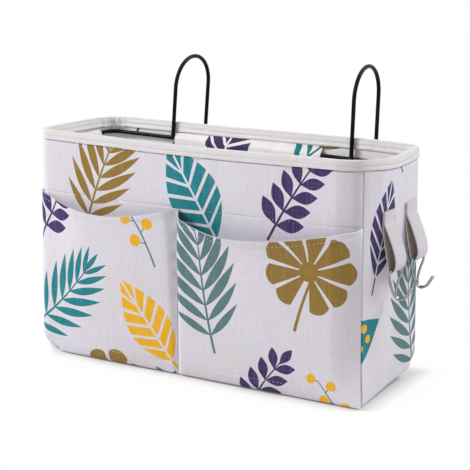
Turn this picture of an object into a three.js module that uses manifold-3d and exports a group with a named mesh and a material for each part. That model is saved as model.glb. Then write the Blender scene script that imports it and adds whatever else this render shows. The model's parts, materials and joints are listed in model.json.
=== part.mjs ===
// Bedside caddy: a cloth box over stiff boards, with a wire frame in the rim, two bed hooks,
// two front pockets and two strap loops with key hooks on the right side.
// Millimetres, +Z up, front towards -Y. The origin is the middle of the underside.
import * as THREE from "three";
import { mergeVertices } from "three/addons/utils/BufferGeometryUtils.js";
import Module from "manifold-3d";

const wasm = await Module();
wasm.setup();

// The box, measured over its cloth walls.
const BOX_WIDTH = 320;
const BOX_DEPTH = 110;
const BOX_HEIGHT = 200;
const CORNER_RADIUS = 12;

// The layers of a wall, from the outside in, and the space left between two layers.
const OUTER_CLOTH = 0.9;
const WALL_BOARD = 1.8;
const LINING_CLOTH = 0.8;
const LAYER_GAP = 0.3;
const SEAM_GAP = 0.3;
const BASE_BOARD = 2.2;

// The binding folded over the top edge of the walls.
const BINDING_HEIGHT = 9;
const BINDING_CLOTH = 1.2;
const GROOVE_CUT_PAST = 1;

// The wire frame that lies inside the rim.
const FRAME_WIRE = 3.2;
const FRAME_DROP = 15.5;
const FRAME_CORNER_RADIUS = 12;
const FRAME_BUTT_GAP = 0.5;

// The bed hooks that stand on the back bar of the frame.
const LEFT_HOOK_X = -83.6;
const RIGHT_HOOK_X = 97.7;
const HOOK_SPAN = 53.5;
const HOOK_TOP = 259;
const HOOK_TIP = 172;
const LEFT_HOOK_LEAN_DEGREES = 4.4;
const RIGHT_HOOK_LEAN_DEGREES = 1.8;

// The sleeves that hold the frame to the lining.
const SLEEVE_CLOTH = 0.9;
const SLEEVE_SKIRT = 14;
const BACK_SLEEVE_FROM = -80;
const BACK_SLEEVE_TO = 69;
const FRONT_SLEEVE_LENGTH = 240;
const SIDE_SLEEVE_LENGTH = 56;

// The front pockets. A pocket bellies out from its sewn edges and its mouth sags.
const POCKET_DIVIDER_X = -13;
const POCKET_DIVIDER_GAP = 0.8;
const POCKET_SIDE_INSET = 4;
const POCKET_HEIGHT = 146;
const POCKET_CLOTH = 1.2;
const POCKET_HEM_CLEAR = 1;
const POCKET_MOUTH_BELLY = 11;
const POCKET_FOOT_BELLY = 6;
const POCKET_FOOT_ROUND = 12;
const POCKET_CORNER_RISE = 45;
const POCKET_DIVIDER_RISE = 10;
const LEFT_POCKET_SAG = 12;
const LEFT_POCKET_LOW_POINT = 0.5;
const RIGHT_POCKET_SAG = 16.5;
const RIGHT_POCKET_LOW_POINT = 0.33;
const POCKET_COLUMNS = 18;
const POCKET_ROWS = 9;

// The strap loops on the right side and the key hooks that hang in them.
const STRAP_WIDTH = 20.5;
const STRAP_CLOTH = 1.2;
const REAR_STRAP_FROM_BACK = 25;
const STRAP_SPACING = 44.5;
const STRAP_PIVOT_Z = 149;
const STRAP_TAB_HEIGHT = 5;
const STRAP_BAR_OUT = 7.5;
const STRAP_BAR_DROP = 39.5;
const STRAP_BELLY_OUT = 11.5;
const STRAP_BELLY_DROP = 33;
const KEY_WIRE = 2;
const KEY_FIT = 0.3;
const KEY_EYE_CLEAR = 1.2;
const KEY_EYE_DROP = 5;
const KEY_PAIR_GAP = 0.5;
const KEY_BEND_DROP = 26;
const KEY_BEND_OUT = 4;
const KEY_TIP_OUT = 14;
const KEY_TIP_DROP = 15.5;

// How round the round things are.
const WIRE_SIDES = 8;
const BEND_STEP_DEGREES = 15;
const CORNER_STEPS = 4;

// Sizes that follow from the ones above.
const HALF_WIDTH = BOX_WIDTH / 2;
const HALF_DEPTH = BOX_DEPTH / 2;
const BOARD_INSET = OUTER_CLOTH + LAYER_GAP;
const LINING_INSET = BOARD_INSET + WALL_BOARD + LAYER_GAP;
const WALL_STACK = LINING_INSET + LINING_CLOTH;
const WALL_TOP = BOX_HEIGHT - BINDING_CLOTH - LAYER_GAP;
const BASE_BOARD_Z = OUTER_CLOTH + LAYER_GAP;
const BASE_LINING_Z = BASE_BOARD_Z + BASE_BOARD + LAYER_GAP;
const BINDING_FOOT = BOX_HEIGHT - BINDING_HEIGHT;
const FRAME_Z = BOX_HEIGHT - FRAME_DROP;
const FRAME_INSET = LAYER_GAP + BINDING_CLOTH + LAYER_GAP + FRAME_WIRE / 2;
const FRAME_HALF_WIDTH = HALF_WIDTH - WALL_STACK - FRAME_INSET;
const FRAME_HALF_DEPTH = HALF_DEPTH - WALL_STACK - FRAME_INSET;
const STRAP_PIVOT_X = HALF_WIDTH + LAYER_GAP + STRAP_CLOTH;
const REAR_STRAP_Y = HALF_DEPTH - REAR_STRAP_FROM_BACK;
const FRONT_STRAP_Y = REAR_STRAP_Y - STRAP_SPACING;
const KEY_EYE_HALF = STRAP_WIDTH / 2 + KEY_EYE_CLEAR + KEY_WIRE / 2;

const CLOTH_LOOK = new THREE.MeshStandardMaterial({ color: 0xdcd6da, roughness: 0.9 });
const BINDING_LOOK = new THREE.MeshStandardMaterial({ color: 0xe8e5e6, roughness: 0.9 });
const BOARD_LOOK = new THREE.MeshStandardMaterial({ color: 0xb9b0a2, roughness: 0.95 });
const BLACK_WIRE_LOOK = new THREE.MeshStandardMaterial({ color: 0x1c1c1e, roughness: 0.35 });
const NICKEL_LOOK = new THREE.MeshStandardMaterial({ color: 0xc9c6c0, roughness: 0.25, metalness: 1 });

const caddy = new THREE.Group();
caddy.name = "bedside_caddy";

function addPiece(name, geometry, look) {
  const piece = new THREE.Mesh(geometry, look);
  piece.name = name;
  caddy.add(piece);
  return piece;
}

// A closed geometry as a solid that can be cut, and the way back.
function solidOf(geometry) {
  const bare = new THREE.BufferGeometry();
  bare.setAttribute("position", geometry.getAttribute("position"));
  bare.setIndex(geometry.getIndex());
  const merged = mergeVertices(bare, 1e-4);
  const mesh = new wasm.Mesh({
    numProp: 3,
    vertProperties: merged.attributes.position.array,
    triVerts: new Uint32Array(merged.index.array),
  });
  return new wasm.Manifold(mesh);
}

function geometryOf(solid) {
  const mesh = solid.getMesh();
  const geometry = new THREE.BufferGeometry();
  geometry.setAttribute("position", new THREE.BufferAttribute(mesh.vertProperties, 3));
  geometry.setIndex(new THREE.BufferAttribute(mesh.triVerts, 1));
  return geometry;
}

function raised(shape, fromZ, toZ) {
  const depth = toZ - fromZ;
  const geometry = new THREE.ExtrudeGeometry(shape, {
    depth,
    bevelEnabled: false,
    curveSegments: CORNER_STEPS,
  });
  return geometry.translate(0, 0, fromZ);
}

// The plan outline of the box, pulled in by inset (or pushed out where inset is negative).
function planOutline(inset, Kind = THREE.Shape) {
  const x = HALF_WIDTH - inset;
  const y = HALF_DEPTH - inset;
  const r = CORNER_RADIUS - inset;
  const outline = new Kind();
  outline.absarc(x - r, -(y - r), r, -Math.PI / 2, 0);
  outline.absarc(x - r, y - r, r, 0, Math.PI / 2);
  outline.absarc(-(x - r), y - r, r, Math.PI / 2, Math.PI);
  outline.absarc(-(x - r), -(y - r), r, Math.PI, 1.5 * Math.PI);
  outline.closePath();
  return outline;
}

function planRing(outerInset, innerInset) {
  const ring = planOutline(outerInset);
  ring.holes.push(planOutline(innerInset, THREE.Path));
  return ring;
}

// One wall of a layer in plan, facing -Y. It ends half way round each corner, at the seam.
function wallOutline(halfLength, halfDepth, inset, thickness) {
  const x = halfLength - CORNER_RADIUS;
  const y = -(halfDepth - CORNER_RADIUS);
  const outer = CORNER_RADIUS - inset;
  const inner = outer - thickness;
  const seam = SEAM_GAP / 2 / inner;
  const down = -Math.PI / 2;
  const rightEnd = -Math.PI / 4 - seam;
  const leftEnd = -0.75 * Math.PI + seam;
  const wall = new THREE.Shape();
  wall.absarc(-x, y, outer, leftEnd, down);
  wall.absarc(x, y, outer, down, rightEnd);
  wall.absarc(x, y, inner, rightEnd, down, true);
  wall.absarc(-x, y, inner, down, leftEnd, true);
  wall.closePath();
  return wall;
}

function addWalls(prefix, inset, thickness, fromZ, look) {
  const walls = [
    { side: "front", halfLength: HALF_WIDTH, halfDepth: HALF_DEPTH, quarterTurns: 0 },
    { side: "right", halfLength: HALF_DEPTH, halfDepth: HALF_WIDTH, quarterTurns: 1 },
    { side: "back", halfLength: HALF_WIDTH, halfDepth: HALF_DEPTH, quarterTurns: 2 },
    { side: "left", halfLength: HALF_DEPTH, halfDepth: HALF_WIDTH, quarterTurns: 3 },
  ];
  for (const wall of walls) {
    const outline = wallOutline(wall.halfLength, wall.halfDepth, inset, thickness);
    const geometry = raised(outline, fromZ, WALL_TOP);
    geometry.rotateZ((wall.quarterTurns * Math.PI) / 2);
    addPiece(prefix + "_" + wall.side, geometry, look);
  }
}

// The box: outer cloth, boards and lining, each with four walls and a base.
addWalls("outer", 0, OUTER_CLOTH, 0, CLOTH_LOOK);
addWalls("board", BOARD_INSET, WALL_BOARD, BASE_BOARD_Z, BOARD_LOOK);
addWalls("lining", LINING_INSET, LINING_CLOTH, BASE_LINING_Z, CLOTH_LOOK);
addPiece("outer_base", raised(planOutline(OUTER_CLOTH + LAYER_GAP), 0, OUTER_CLOTH), CLOTH_LOOK);
addPiece(
  "board_base",
  raised(planOutline(BOARD_INSET + WALL_BOARD + LAYER_GAP), BASE_BOARD_Z, BASE_BOARD_Z + BASE_BOARD),
  BOARD_LOOK,
);
addPiece(
  "lining_base",
  raised(planOutline(WALL_STACK + LAYER_GAP), BASE_LINING_Z, BASE_LINING_Z + LINING_CLOTH),
  CLOTH_LOOK,
);

// The rim binding: a ring with a groove below that takes the top edge of the walls.
function bindingGeometry() {
  const outside = -(LAYER_GAP + BINDING_CLOTH);
  const inside = WALL_STACK + LAYER_GAP + BINDING_CLOTH;
  const block = solidOf(raised(planRing(outside, inside), BINDING_FOOT, BOX_HEIGHT));
  const grooveShape = planRing(-LAYER_GAP, WALL_STACK + LAYER_GAP);
  const groove = solidOf(raised(grooveShape, BINDING_FOOT - GROOVE_CUT_PAST, BOX_HEIGHT - BINDING_CLOTH));
  return geometryOf(block.subtract(groove));
}
addPiece("rim_binding", bindingGeometry(), BINDING_LOOK);

// A route of straight lines between stations, stepped station by station.
class WireRoute extends THREE.Curve {
  constructor(stations) {
    super();
    this.stations = stations;
  }
  getPoint(t) {
    const last = this.stations.length - 1;
    const i = Math.min(Math.floor(t * last + 1e-9), last - 1);
    return this.stations[i].clone().lerp(this.stations[i + 1], t * last - i);
  }
  getUtoTmapping(u) {
    return u;
  }
  getTangent(t) {
    const last = this.stations.length - 1;
    const i = Math.round(t * last);
    const before = this.stations[Math.max(i - 1, 0)];
    const at = this.stations[i];
    const after = this.stations[Math.min(i + 1, last)];
    const inward = at.clone().sub(before).normalize();
    const outward = after.clone().sub(at).normalize();
    return inward.add(outward).normalize();
  }
}

function wireGeometry(stations, diameter) {
  const section = new THREE.Shape();
  section.absarc(0, 0, diameter / 2, 0, 2 * Math.PI);
  return new THREE.ExtrudeGeometry(section, {
    steps: stations.length - 1,
    extrudePath: new WireRoute(stations),
    curveSegments: WIRE_SIDES,
  });
}

// The stations of a bend, from one angle to another, mapped into space by place(cos, sin).
function bend(fromDegrees, toDegrees, place) {
  const steps = Math.ceil(Math.abs(toDegrees - fromDegrees) / BEND_STEP_DEGREES);
  const stations = [];
  for (let i = 0; i <= steps; i += 1) {
    const angle = THREE.MathUtils.degToRad(fromDegrees + ((toDegrees - fromDegrees) * i) / steps);
    stations.push(place(Math.cos(angle), Math.sin(angle)));
  }
  return stations;
}

// The frame: one wire bent into a rounded rectangle, its two ends butted in the front sleeve.
function frameStations() {
  const r = FRAME_CORNER_RADIUS;
  const x = FRAME_HALF_WIDTH - r;
  const y = FRAME_HALF_DEPTH - r;
  const corner = (cx, cy) => (c, s) => new THREE.Vector3(cx + r * c, cy + r * s, FRAME_Z);
  return [
    new THREE.Vector3(FRAME_BUTT_GAP / 2, -FRAME_HALF_DEPTH, FRAME_Z),
    ...bend(-90, 0, corner(x, -y)),
    ...bend(0, 90, corner(x, y)),
    ...bend(90, 180, corner(-x, y)),
    ...bend(180, 270, corner(-x, -y)),
    new THREE.Vector3(-FRAME_BUTT_GAP / 2, -FRAME_HALF_DEPTH, FRAME_Z),
  ];
}
addPiece("frame_ring", wireGeometry(frameStations(), FRAME_WIRE), BLACK_WIRE_LOOK);

// A bed hook: a stem on the back bar, a half-round bend to the rear and a free leg down.
function addBedHook(name, x, leanDegrees) {
  const radius = HOOK_SPAN / 2;
  const bendZ = HOOK_TOP - FRAME_Z - radius;
  const foot = FRAME_WIRE / 2 + LAYER_GAP;
  const place = (c, s) => new THREE.Vector3(0, radius - radius * c, bendZ + radius * s);
  const stations = [
    new THREE.Vector3(0, 0, foot),
    ...bend(0, 180, place),
    new THREE.Vector3(0, HOOK_SPAN, HOOK_TIP - FRAME_Z),
  ];
  const hook = addPiece(name, wireGeometry(stations, FRAME_WIRE), BLACK_WIRE_LOOK);
  hook.position.set(x, FRAME_HALF_DEPTH, FRAME_Z);
  hook.rotation.y = THREE.MathUtils.degToRad(leanDegrees);
}
addBedHook("bed_hook_left", LEFT_HOOK_X, LEFT_HOOK_LEAN_DEGREES);
addBedHook("bed_hook_right", RIGHT_HOOK_X, RIGHT_HOOK_LEAN_DEGREES);

// A sleeve in section: x is the distance from the lining, y the height over the frame's wire.
function sleeveOutline() {
  const tunnel = FRAME_WIRE / 2 + LAYER_GAP;
  const outer = tunnel + SLEEVE_CLOTH;
  const near = LAYER_GAP;
  const far = LAYER_GAP + SLEEVE_CLOTH;
  const top = BINDING_FOOT - LAYER_GAP - FRAME_Z;
  const foot = -SLEEVE_SKIRT;
  const wrap = THREE.MathUtils.degToRad(130);
  const sleeve = new THREE.Shape();
  sleeve.moveTo(near, top);
  sleeve.lineTo(near, tunnel + LAYER_GAP);
  sleeve.absarc(FRAME_INSET, 0, tunnel, wrap, -wrap, true);
  sleeve.lineTo(near, -tunnel - LAYER_GAP);
  sleeve.lineTo(near, foot);
  sleeve.lineTo(far, foot);
  sleeve.lineTo(far, -outer - LAYER_GAP);
  sleeve.absarc(FRAME_INSET, 0, outer, -wrap, wrap, false);
  sleeve.lineTo(far, outer + LAYER_GAP);
  sleeve.lineTo(far, top);
  sleeve.closePath();
  return sleeve;
}

// Lays a sleeve on the inner face of a wall. inward points from the lining into the box.
function addSleeve(name, inward, wallPoint, length) {
  const geometry = new THREE.ExtrudeGeometry(sleeveOutline(), {
    depth: length,
    bevelEnabled: false,
    curveSegments: WIRE_SIDES,
  });
  geometry.translate(0, 0, -length / 2);
  const up = new THREE.Vector3(0, 0, 1);
  const along = inward.clone().cross(up);
  const lay = new THREE.Matrix4().makeBasis(inward, up, along);
  geometry.applyMatrix4(lay.setPosition(wallPoint));
  addPiece(name, geometry, CLOTH_LOOK);
}
const LINING_FACE_X = HALF_WIDTH - WALL_STACK;
const LINING_FACE_Y = HALF_DEPTH - WALL_STACK;
const BACK_SLEEVE_X = (BACK_SLEEVE_FROM + BACK_SLEEVE_TO) / 2;
addSleeve(
  "sleeve_back",
  new THREE.Vector3(0, -1, 0),
  new THREE.Vector3(BACK_SLEEVE_X, LINING_FACE_Y, FRAME_Z),
  BACK_SLEEVE_TO - BACK_SLEEVE_FROM,
);
addSleeve(
  "sleeve_front",
  new THREE.Vector3(0, 1, 0),
  new THREE.Vector3(0, -LINING_FACE_Y, FRAME_Z),
  FRONT_SLEEVE_LENGTH,
);
addSleeve(
  "sleeve_left",
  new THREE.Vector3(1, 0, 0),
  new THREE.Vector3(-LINING_FACE_X, 0, FRAME_Z),
  SIDE_SLEEVE_LENGTH,
);
addSleeve(
  "sleeve_right",
  new THREE.Vector3(-1, 0, 0),
  new THREE.Vector3(LINING_FACE_X, 0, FRAME_Z),
  SIDE_SLEEVE_LENGTH,
);

// The face of the outer front wall at a place along it, with its rounded corners.
function frontFaceY(x) {
  const past = Math.max(0, Math.abs(x) - (HALF_WIDTH - CORNER_RADIUS));
  const rounding = CORNER_RADIUS - Math.sqrt(CORNER_RADIUS ** 2 - past ** 2);
  return -HALF_DEPTH + rounding;
}

// Climbs from 0 to 1 over a length, steep first, like cloth that leaves a seam.
function leaveSeam(distance, length) {
  const left = 1 - Math.min(Math.max(distance / length, 0), 1);
  return 1 - left * left;
}

// A pocket from its corner edge to its divider edge, as a sheet with two faces.
function addPocket(name, cornerX, dividerX, sag, lowPoint) {
  const width = Math.abs(dividerX - cornerX);
  const sheet = new THREE.BoxGeometry(1, 1, 1, POCKET_COLUMNS, 1, POCKET_ROWS);
  const position = sheet.getAttribute("position");
  const leftX = Math.min(cornerX, dividerX);
  for (let i = 0; i < position.count; i += 1) {
    const across = (1 - Math.cos(Math.PI * (position.getX(i) + 0.5))) / 2;
    const up = 1 - Math.cos((Math.PI / 2) * (position.getZ(i) + 0.5));
    const outerFace = position.getY(i) < 0;
    const x = leftX + across * width;
    const fromDivider = Math.abs(dividerX - x);
    const share = fromDivider / width;
    const toLow = share < lowPoint ? share / lowPoint : (1 - share) / (1 - lowPoint);
    const mouthZ = POCKET_HEIGHT - sag * Math.sin((Math.PI / 2) * toLow);
    const z = POCKET_HEM_CLEAR + up * (mouthZ - POCKET_HEM_CLEAR);
    const sides =
      leaveSeam(fromDivider, POCKET_DIVIDER_RISE) * leaveSeam(width - fromDivider, POCKET_CORNER_RISE);
    const foot = Math.sqrt(leaveSeam(z - POCKET_HEM_CLEAR, POCKET_FOOT_ROUND));
    const fullness = POCKET_FOOT_BELLY + (POCKET_MOUTH_BELLY - POCKET_FOOT_BELLY) * (z / POCKET_HEIGHT);
    const belly = fullness * sides * foot;
    const thickness = outerFace ? POCKET_CLOTH : 0;
    position.setXYZ(i, x, frontFaceY(x) - LAYER_GAP - belly - thickness, z);
  }
  addPiece(name, sheet, CLOTH_LOOK);
}
const POCKET_SIDE_X = HALF_WIDTH - POCKET_SIDE_INSET;
addPocket(
  "pocket_left",
  -POCKET_SIDE_X,
  POCKET_DIVIDER_X - POCKET_DIVIDER_GAP / 2,
  LEFT_POCKET_SAG,
  LEFT_POCKET_LOW_POINT,
);
addPocket(
  "pocket_right",
  POCKET_SIDE_X,
  POCKET_DIVIDER_X + POCKET_DIVIDER_GAP / 2,
  RIGHT_POCKET_SAG,
  RIGHT_POCKET_LOW_POINT,
);

// The middle line of a strap loop, x outward and y up, from its pivot down and round the bar.
function strapLine() {
  const grip = KEY_WIRE / 2 + KEY_FIT + STRAP_CLOTH / 2;
  const half = STRAP_CLOTH / 2;
  const bar = new THREE.Vector2(STRAP_BAR_OUT, -STRAP_BAR_DROP);
  const points = [
    new THREE.Vector2(-half, 0),
    new THREE.Vector2(-half, -0.1 * STRAP_BAR_DROP),
    new THREE.Vector2(0.1 * STRAP_BAR_OUT, -0.4 * STRAP_BAR_DROP),
    new THREE.Vector2(0.5 * STRAP_BAR_OUT, -0.8 * STRAP_BAR_DROP),
  ];
  for (const degrees of [180, 210, 240, 270, 300]) {
    const angle = THREE.MathUtils.degToRad(degrees);
    points.push(new THREE.Vector2(Math.cos(angle), Math.sin(angle)).multiplyScalar(grip).add(bar));
  }
  points.push(new THREE.Vector2((STRAP_BAR_OUT + grip + STRAP_BELLY_OUT) / 2, -STRAP_BAR_DROP + 0.4 * grip));
  points.push(new THREE.Vector2(STRAP_BELLY_OUT, -STRAP_BELLY_DROP));
  points.push(new THREE.Vector2(0.82 * STRAP_BELLY_OUT, -0.72 * STRAP_BELLY_DROP));
  points.push(new THREE.Vector2(0.38 * STRAP_BELLY_OUT, -0.33 * STRAP_BELLY_DROP));
  points.push(new THREE.Vector2(1.5 * half, -0.1 * STRAP_BELLY_DROP));
  points.push(new THREE.Vector2(half, 0));
  return new THREE.SplineCurve(points);
}

function strapGeometry() {
  const line = strapLine();
  const count = 44;
  const holeStart = 5;
  const outer = [];
  const hole = [];
  for (let i = 0; i <= count; i += 1) {
    const at = line.getPoint(i / count);
    const along = line.getTangent(i / count);
    const aside = new THREE.Vector2(along.y, -along.x).multiplyScalar(STRAP_CLOTH / 2);
    outer.push(at.clone().add(aside));
    if (i >= holeStart && i <= count - holeStart) {
      hole.push(at.clone().sub(aside));
    }
  }
  for (const degrees of [30, 60, 90, 120, 150]) {
    const angle = THREE.MathUtils.degToRad(degrees);
    outer.push(new THREE.Vector2(STRAP_CLOTH * Math.cos(angle), STRAP_CLOTH * Math.sin(angle)));
  }
  const loop = new THREE.Shape(outer);
  loop.holes.push(new THREE.Path(hole));
  const geometry = new THREE.ExtrudeGeometry(loop, { depth: STRAP_WIDTH, bevelEnabled: false });
  geometry.translate(0, 0, -STRAP_WIDTH / 2);
  return geometry.rotateX(Math.PI / 2);
}

// A key hook: one wire from a tip, round the bend, up to the eye, through the strap and back.
function keyHookGeometry() {
  const pair = KEY_WIRE / 2 + KEY_PAIR_GAP / 2;
  const corner = KEY_WIRE;
  const halfRoute = [
    new THREE.Vector3(KEY_TIP_OUT, pair, -KEY_TIP_DROP),
    new THREE.Vector3(0.8 * KEY_TIP_OUT, pair, -1.3 * KEY_TIP_DROP),
    new THREE.Vector3(0.6 * KEY_TIP_OUT, pair, -0.93 * KEY_BEND_DROP),
    new THREE.Vector3(KEY_BEND_OUT, pair, -KEY_BEND_DROP),
    new THREE.Vector3(0.25 * KEY_BEND_OUT, pair, -0.95 * KEY_BEND_DROP),
    new THREE.Vector3(-0.2 * KEY_BEND_OUT, 0.2 * KEY_EYE_HALF, -0.8 * KEY_BEND_DROP),
    new THREE.Vector3(-0.3 * KEY_BEND_OUT, 0.55 * KEY_EYE_HALF, -0.54 * KEY_BEND_DROP),
    new THREE.Vector3(-0.1 * KEY_BEND_OUT, 0.92 * KEY_EYE_HALF, -0.28 * KEY_BEND_DROP),
    new THREE.Vector3(0, KEY_EYE_HALF, -KEY_EYE_DROP),
  ];
  const smooth = new THREE.CatmullRomCurve3(halfRoute).getPoints(18);
  const turn = bend(0, 90, (c, s) => {
    return new THREE.Vector3(0, KEY_EYE_HALF - corner + corner * c, -corner + corner * s);
  });
  const half = [...smooth, ...turn];
  const otherHalf = half.map((p) => new THREE.Vector3(p.x, -p.y, p.z)).reverse();
  return wireGeometry([...half, ...otherHalf], KEY_WIRE);
}

function addStrap(place, y) {
  const tab = new THREE.BoxGeometry(2 * STRAP_CLOTH, STRAP_WIDTH, STRAP_TAB_HEIGHT);
  const tabZ = STRAP_PIVOT_Z + STRAP_CLOTH + LAYER_GAP + STRAP_TAB_HEIGHT / 2;
  tab.translate(STRAP_PIVOT_X, y, tabZ);
  addPiece("strap_tab_" + place, tab, CLOTH_LOOK);
  const loop = strapGeometry();
  loop.translate(STRAP_PIVOT_X, y, STRAP_PIVOT_Z);
  addPiece("strap_loop_" + place, loop, CLOTH_LOOK);
  const key = keyHookGeometry();
  key.translate(STRAP_PIVOT_X + STRAP_BAR_OUT, y, STRAP_PIVOT_Z - STRAP_BAR_DROP);
  addPiece("key_hook_" + place, key, NICKEL_LOOK);
}
addStrap("front", FRONT_STRAP_Y);
addStrap("rear", REAR_STRAP_Y);

export default caddy;
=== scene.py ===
"""Bedside caddy: cloth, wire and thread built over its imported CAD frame, in metres, front towards -Y."""
import json
import math

import bpy
import numpy as np
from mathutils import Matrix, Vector
from mathutils.geometry import delaunay_2d_cdt


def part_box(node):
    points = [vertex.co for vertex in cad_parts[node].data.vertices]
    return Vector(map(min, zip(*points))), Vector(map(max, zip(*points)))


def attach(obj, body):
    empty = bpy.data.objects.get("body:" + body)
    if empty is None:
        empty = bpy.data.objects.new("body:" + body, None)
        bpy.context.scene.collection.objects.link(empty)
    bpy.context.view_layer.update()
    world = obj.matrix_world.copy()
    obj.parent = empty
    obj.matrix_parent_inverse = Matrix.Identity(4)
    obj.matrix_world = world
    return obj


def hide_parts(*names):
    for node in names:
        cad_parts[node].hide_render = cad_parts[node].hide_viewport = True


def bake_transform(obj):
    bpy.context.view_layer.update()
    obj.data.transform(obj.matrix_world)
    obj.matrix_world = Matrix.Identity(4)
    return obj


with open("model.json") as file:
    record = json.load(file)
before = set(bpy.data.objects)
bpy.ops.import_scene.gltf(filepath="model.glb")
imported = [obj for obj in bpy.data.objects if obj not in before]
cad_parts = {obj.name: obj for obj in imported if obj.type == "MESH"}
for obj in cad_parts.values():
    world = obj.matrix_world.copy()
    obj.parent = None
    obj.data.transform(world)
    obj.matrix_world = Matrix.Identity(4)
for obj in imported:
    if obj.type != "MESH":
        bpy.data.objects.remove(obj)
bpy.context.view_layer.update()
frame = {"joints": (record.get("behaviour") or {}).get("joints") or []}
MM = 0.001

# The photograph's camera, found from the corners of the box.
PICTURE_SIDE = 470
FOCAL_PIXELS = 1365.9
SENSOR = 36.0
CAMERA_AZIMUTH = math.radians(30.37)
CAMERA_ELEVATION = math.radians(13.235)
CAMERA_DISTANCE = 1.186
CAMERA_AIM = Vector((0.01044, 0.0, 0.11483))

# Thicknesses of the cloth, the gap between layers, and the corner radius of the walls.
OUTER_CLOTH = 0.9 * MM
LINING_CLOTH = 0.8 * MM
SLEEVE_CLOTH = 0.9 * MM
POCKET_CLOTH = 1.2 * MM
STRAP_CLOTH = 1.2 * MM
LAYER_GAP = 0.3 * MM
CORNER_RADIUS = 12 * MM

# Sizes that the frame gives.
HALF_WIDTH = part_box("outer_right")[1].x
HALF_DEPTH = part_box("outer_back")[1].y
WALL_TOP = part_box("outer_front")[1].z
LINING_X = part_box("lining_right")[1].x - LINING_CLOTH
LINING_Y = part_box("lining_back")[1].y - LINING_CLOTH
LINING_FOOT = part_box("lining_front")[0].z
INNER_RADIUS = CORNER_RADIUS - (HALF_WIDTH - LINING_X)
BOARD_INSET = HALF_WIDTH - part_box("board_right")[1].x
WALL_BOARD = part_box("board_right")[1].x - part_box("lining_right")[1].x - LAYER_GAP
RIM_LOW, RIM_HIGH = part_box("rim_binding")
RIM_HEIGHT = RIM_HIGH.z - RIM_LOW.z
POCKET_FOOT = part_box("pocket_left")[0].z
POCKET_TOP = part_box("pocket_left")[1].z
RING_LOW, RING_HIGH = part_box("frame_ring")
WIRE_RADIUS = (RING_HIGH.z - RING_LOW.z) / 2
RING_Z = (RING_HIGH.z + RING_LOW.z) / 2
RING_X = RING_HIGH.x - WIRE_RADIUS
RING_Y = RING_HIGH.y - WIRE_RADIUS
TAB_LOW, TAB_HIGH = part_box("strap_tab_front")
STRAP_WIDTH = TAB_HIGH.y - TAB_LOW.y
JOINT_AT = {joint["name"]: np.array(joint["pos_m"]) for joint in frame["joints"]}

# Length, gap and thread radius of each kind of stitch.
RIM_STITCH = (3.0 * MM, 0.9 * MM, 0.17 * MM)
POCKET_STITCH = (2.7 * MM, 0.8 * MM, 0.16 * MM)
DIVIDER_STITCH = (2.7 * MM, 0.8 * MM, 0.2 * MM)
WALL_STITCH = (2.8 * MM, 0.7 * MM, 0.16 * MM)
TACK_STITCH = (2.4 * MM, 0.6 * MM, 0.2 * MM)


# Small tools for rows of numbers and points.

def unit(vectors):
    """Vectors made one long."""
    return vectors / np.linalg.norm(vectors, axis=-1, keepdims=True)


def points_of(*parts):
    """Points from rows of their coordinates. A single number counts for a whole row."""
    return np.stack(np.broadcast_arrays(*parts), -1)


def round_angles(count):
    """Even angles round a full turn."""
    return np.linspace(0, 2 * np.pi, count, endpoint=False)


def circle_points(angle, radius=1.0, x=0.0, y=0.0):
    """Points of a circle at the given angles."""
    return points_of(x + radius * np.cos(angle), y + radius * np.sin(angle))


def steps(low, high, size):
    """Even steps from low to high of about a size."""
    return np.linspace(low, high, max(2, round((high - low) / size) + 1))


def joined(*rows):
    """Rows of steps joined end to end, without doubled ends."""
    return np.concatenate([rows[0]] + [row[1:] for row in rows[1:]])


def graded(start, *stretches):
    """Steps from a start through stretches, each given as its end and its size of step."""
    rows = [np.array([start])]
    for end, size in stretches:
        rows.append(steps(rows[-1][-1], end, size))
    return joined(*rows)


def smooth_step(value, low, high):
    """0 below low, 1 above high, and smooth between them."""
    t = np.clip((value - low) / (high - low), 0, 1)
    return t * t * (3 - 2 * t)


def hump(value, middle, width):
    """1 at a middle, and smoothly down to 0 on both sides of it over about a width."""
    return np.exp(-(((value - middle) / width) ** 2))


def ripple(a, b, size, seed, waves=5):
    """A smooth uneven field of about -1 to 1, with waves of about a size."""
    chance = np.random.default_rng(seed)
    total = np.zeros(np.broadcast(a, b).shape)
    for _ in range(waves):
        angle = chance.uniform(0, 2 * math.pi)
        wave = 2 * math.pi / (size * chance.uniform(0.7, 1.5))
        phase = chance.uniform(0, 2 * math.pi)
        total += np.sin(wave * (a * math.cos(angle) + b * math.sin(angle)) + phase)
    return total / waves


def standing_off(a, b, looseness, seed):
    """How far loose cloth stands off. looseness is its height, the size of its waves and their mean."""
    height, size, mean = looseness
    return height * (ripple(a, b, size, seed) + mean)


def distances(points):
    """How far along a row of points each one lies."""
    return np.concatenate([[0], np.cumsum(np.linalg.norm(np.diff(points, axis=0), axis=1))])


def line_length(points):
    """The length of a row of points."""
    return float(np.linalg.norm(np.diff(points, axis=0), axis=1).sum())


def spline(points, per_span):
    """A smooth row of points through the given ones."""
    points = np.asarray(points, float)
    ends = np.concatenate([[2 * points[0] - points[1]], points, [2 * points[-1] - points[-2]]])
    rows = []
    t = np.linspace(0, 1, per_span, endpoint=False)[:, None]
    for k in range(len(points) - 1):
        p0, p1, p2, p3 = ends[k : k + 4]
        curve = 2 * p1 + (p2 - p0) * t
        curve = curve + (2 * p0 - 5 * p1 + 4 * p2 - p3) * t**2
        curve = curve + (3 * p1 - p0 - 3 * p2 + p3) * t**3
        rows.append(0.5 * curve)
    return np.concatenate(rows + [points[-1:]])


# Colours.

def srgb(red, green, blue):
    """A colour written as 0 to 255 screen values, as the linear colour that a shader takes."""
    shares = np.array([red, green, blue]) / 255
    linear = np.where(shares <= 0.04045, shares / 12.92, ((shares + 0.055) / 1.055) ** 2.4)
    return (*[float(c) for c in linear], 1.0)


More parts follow.
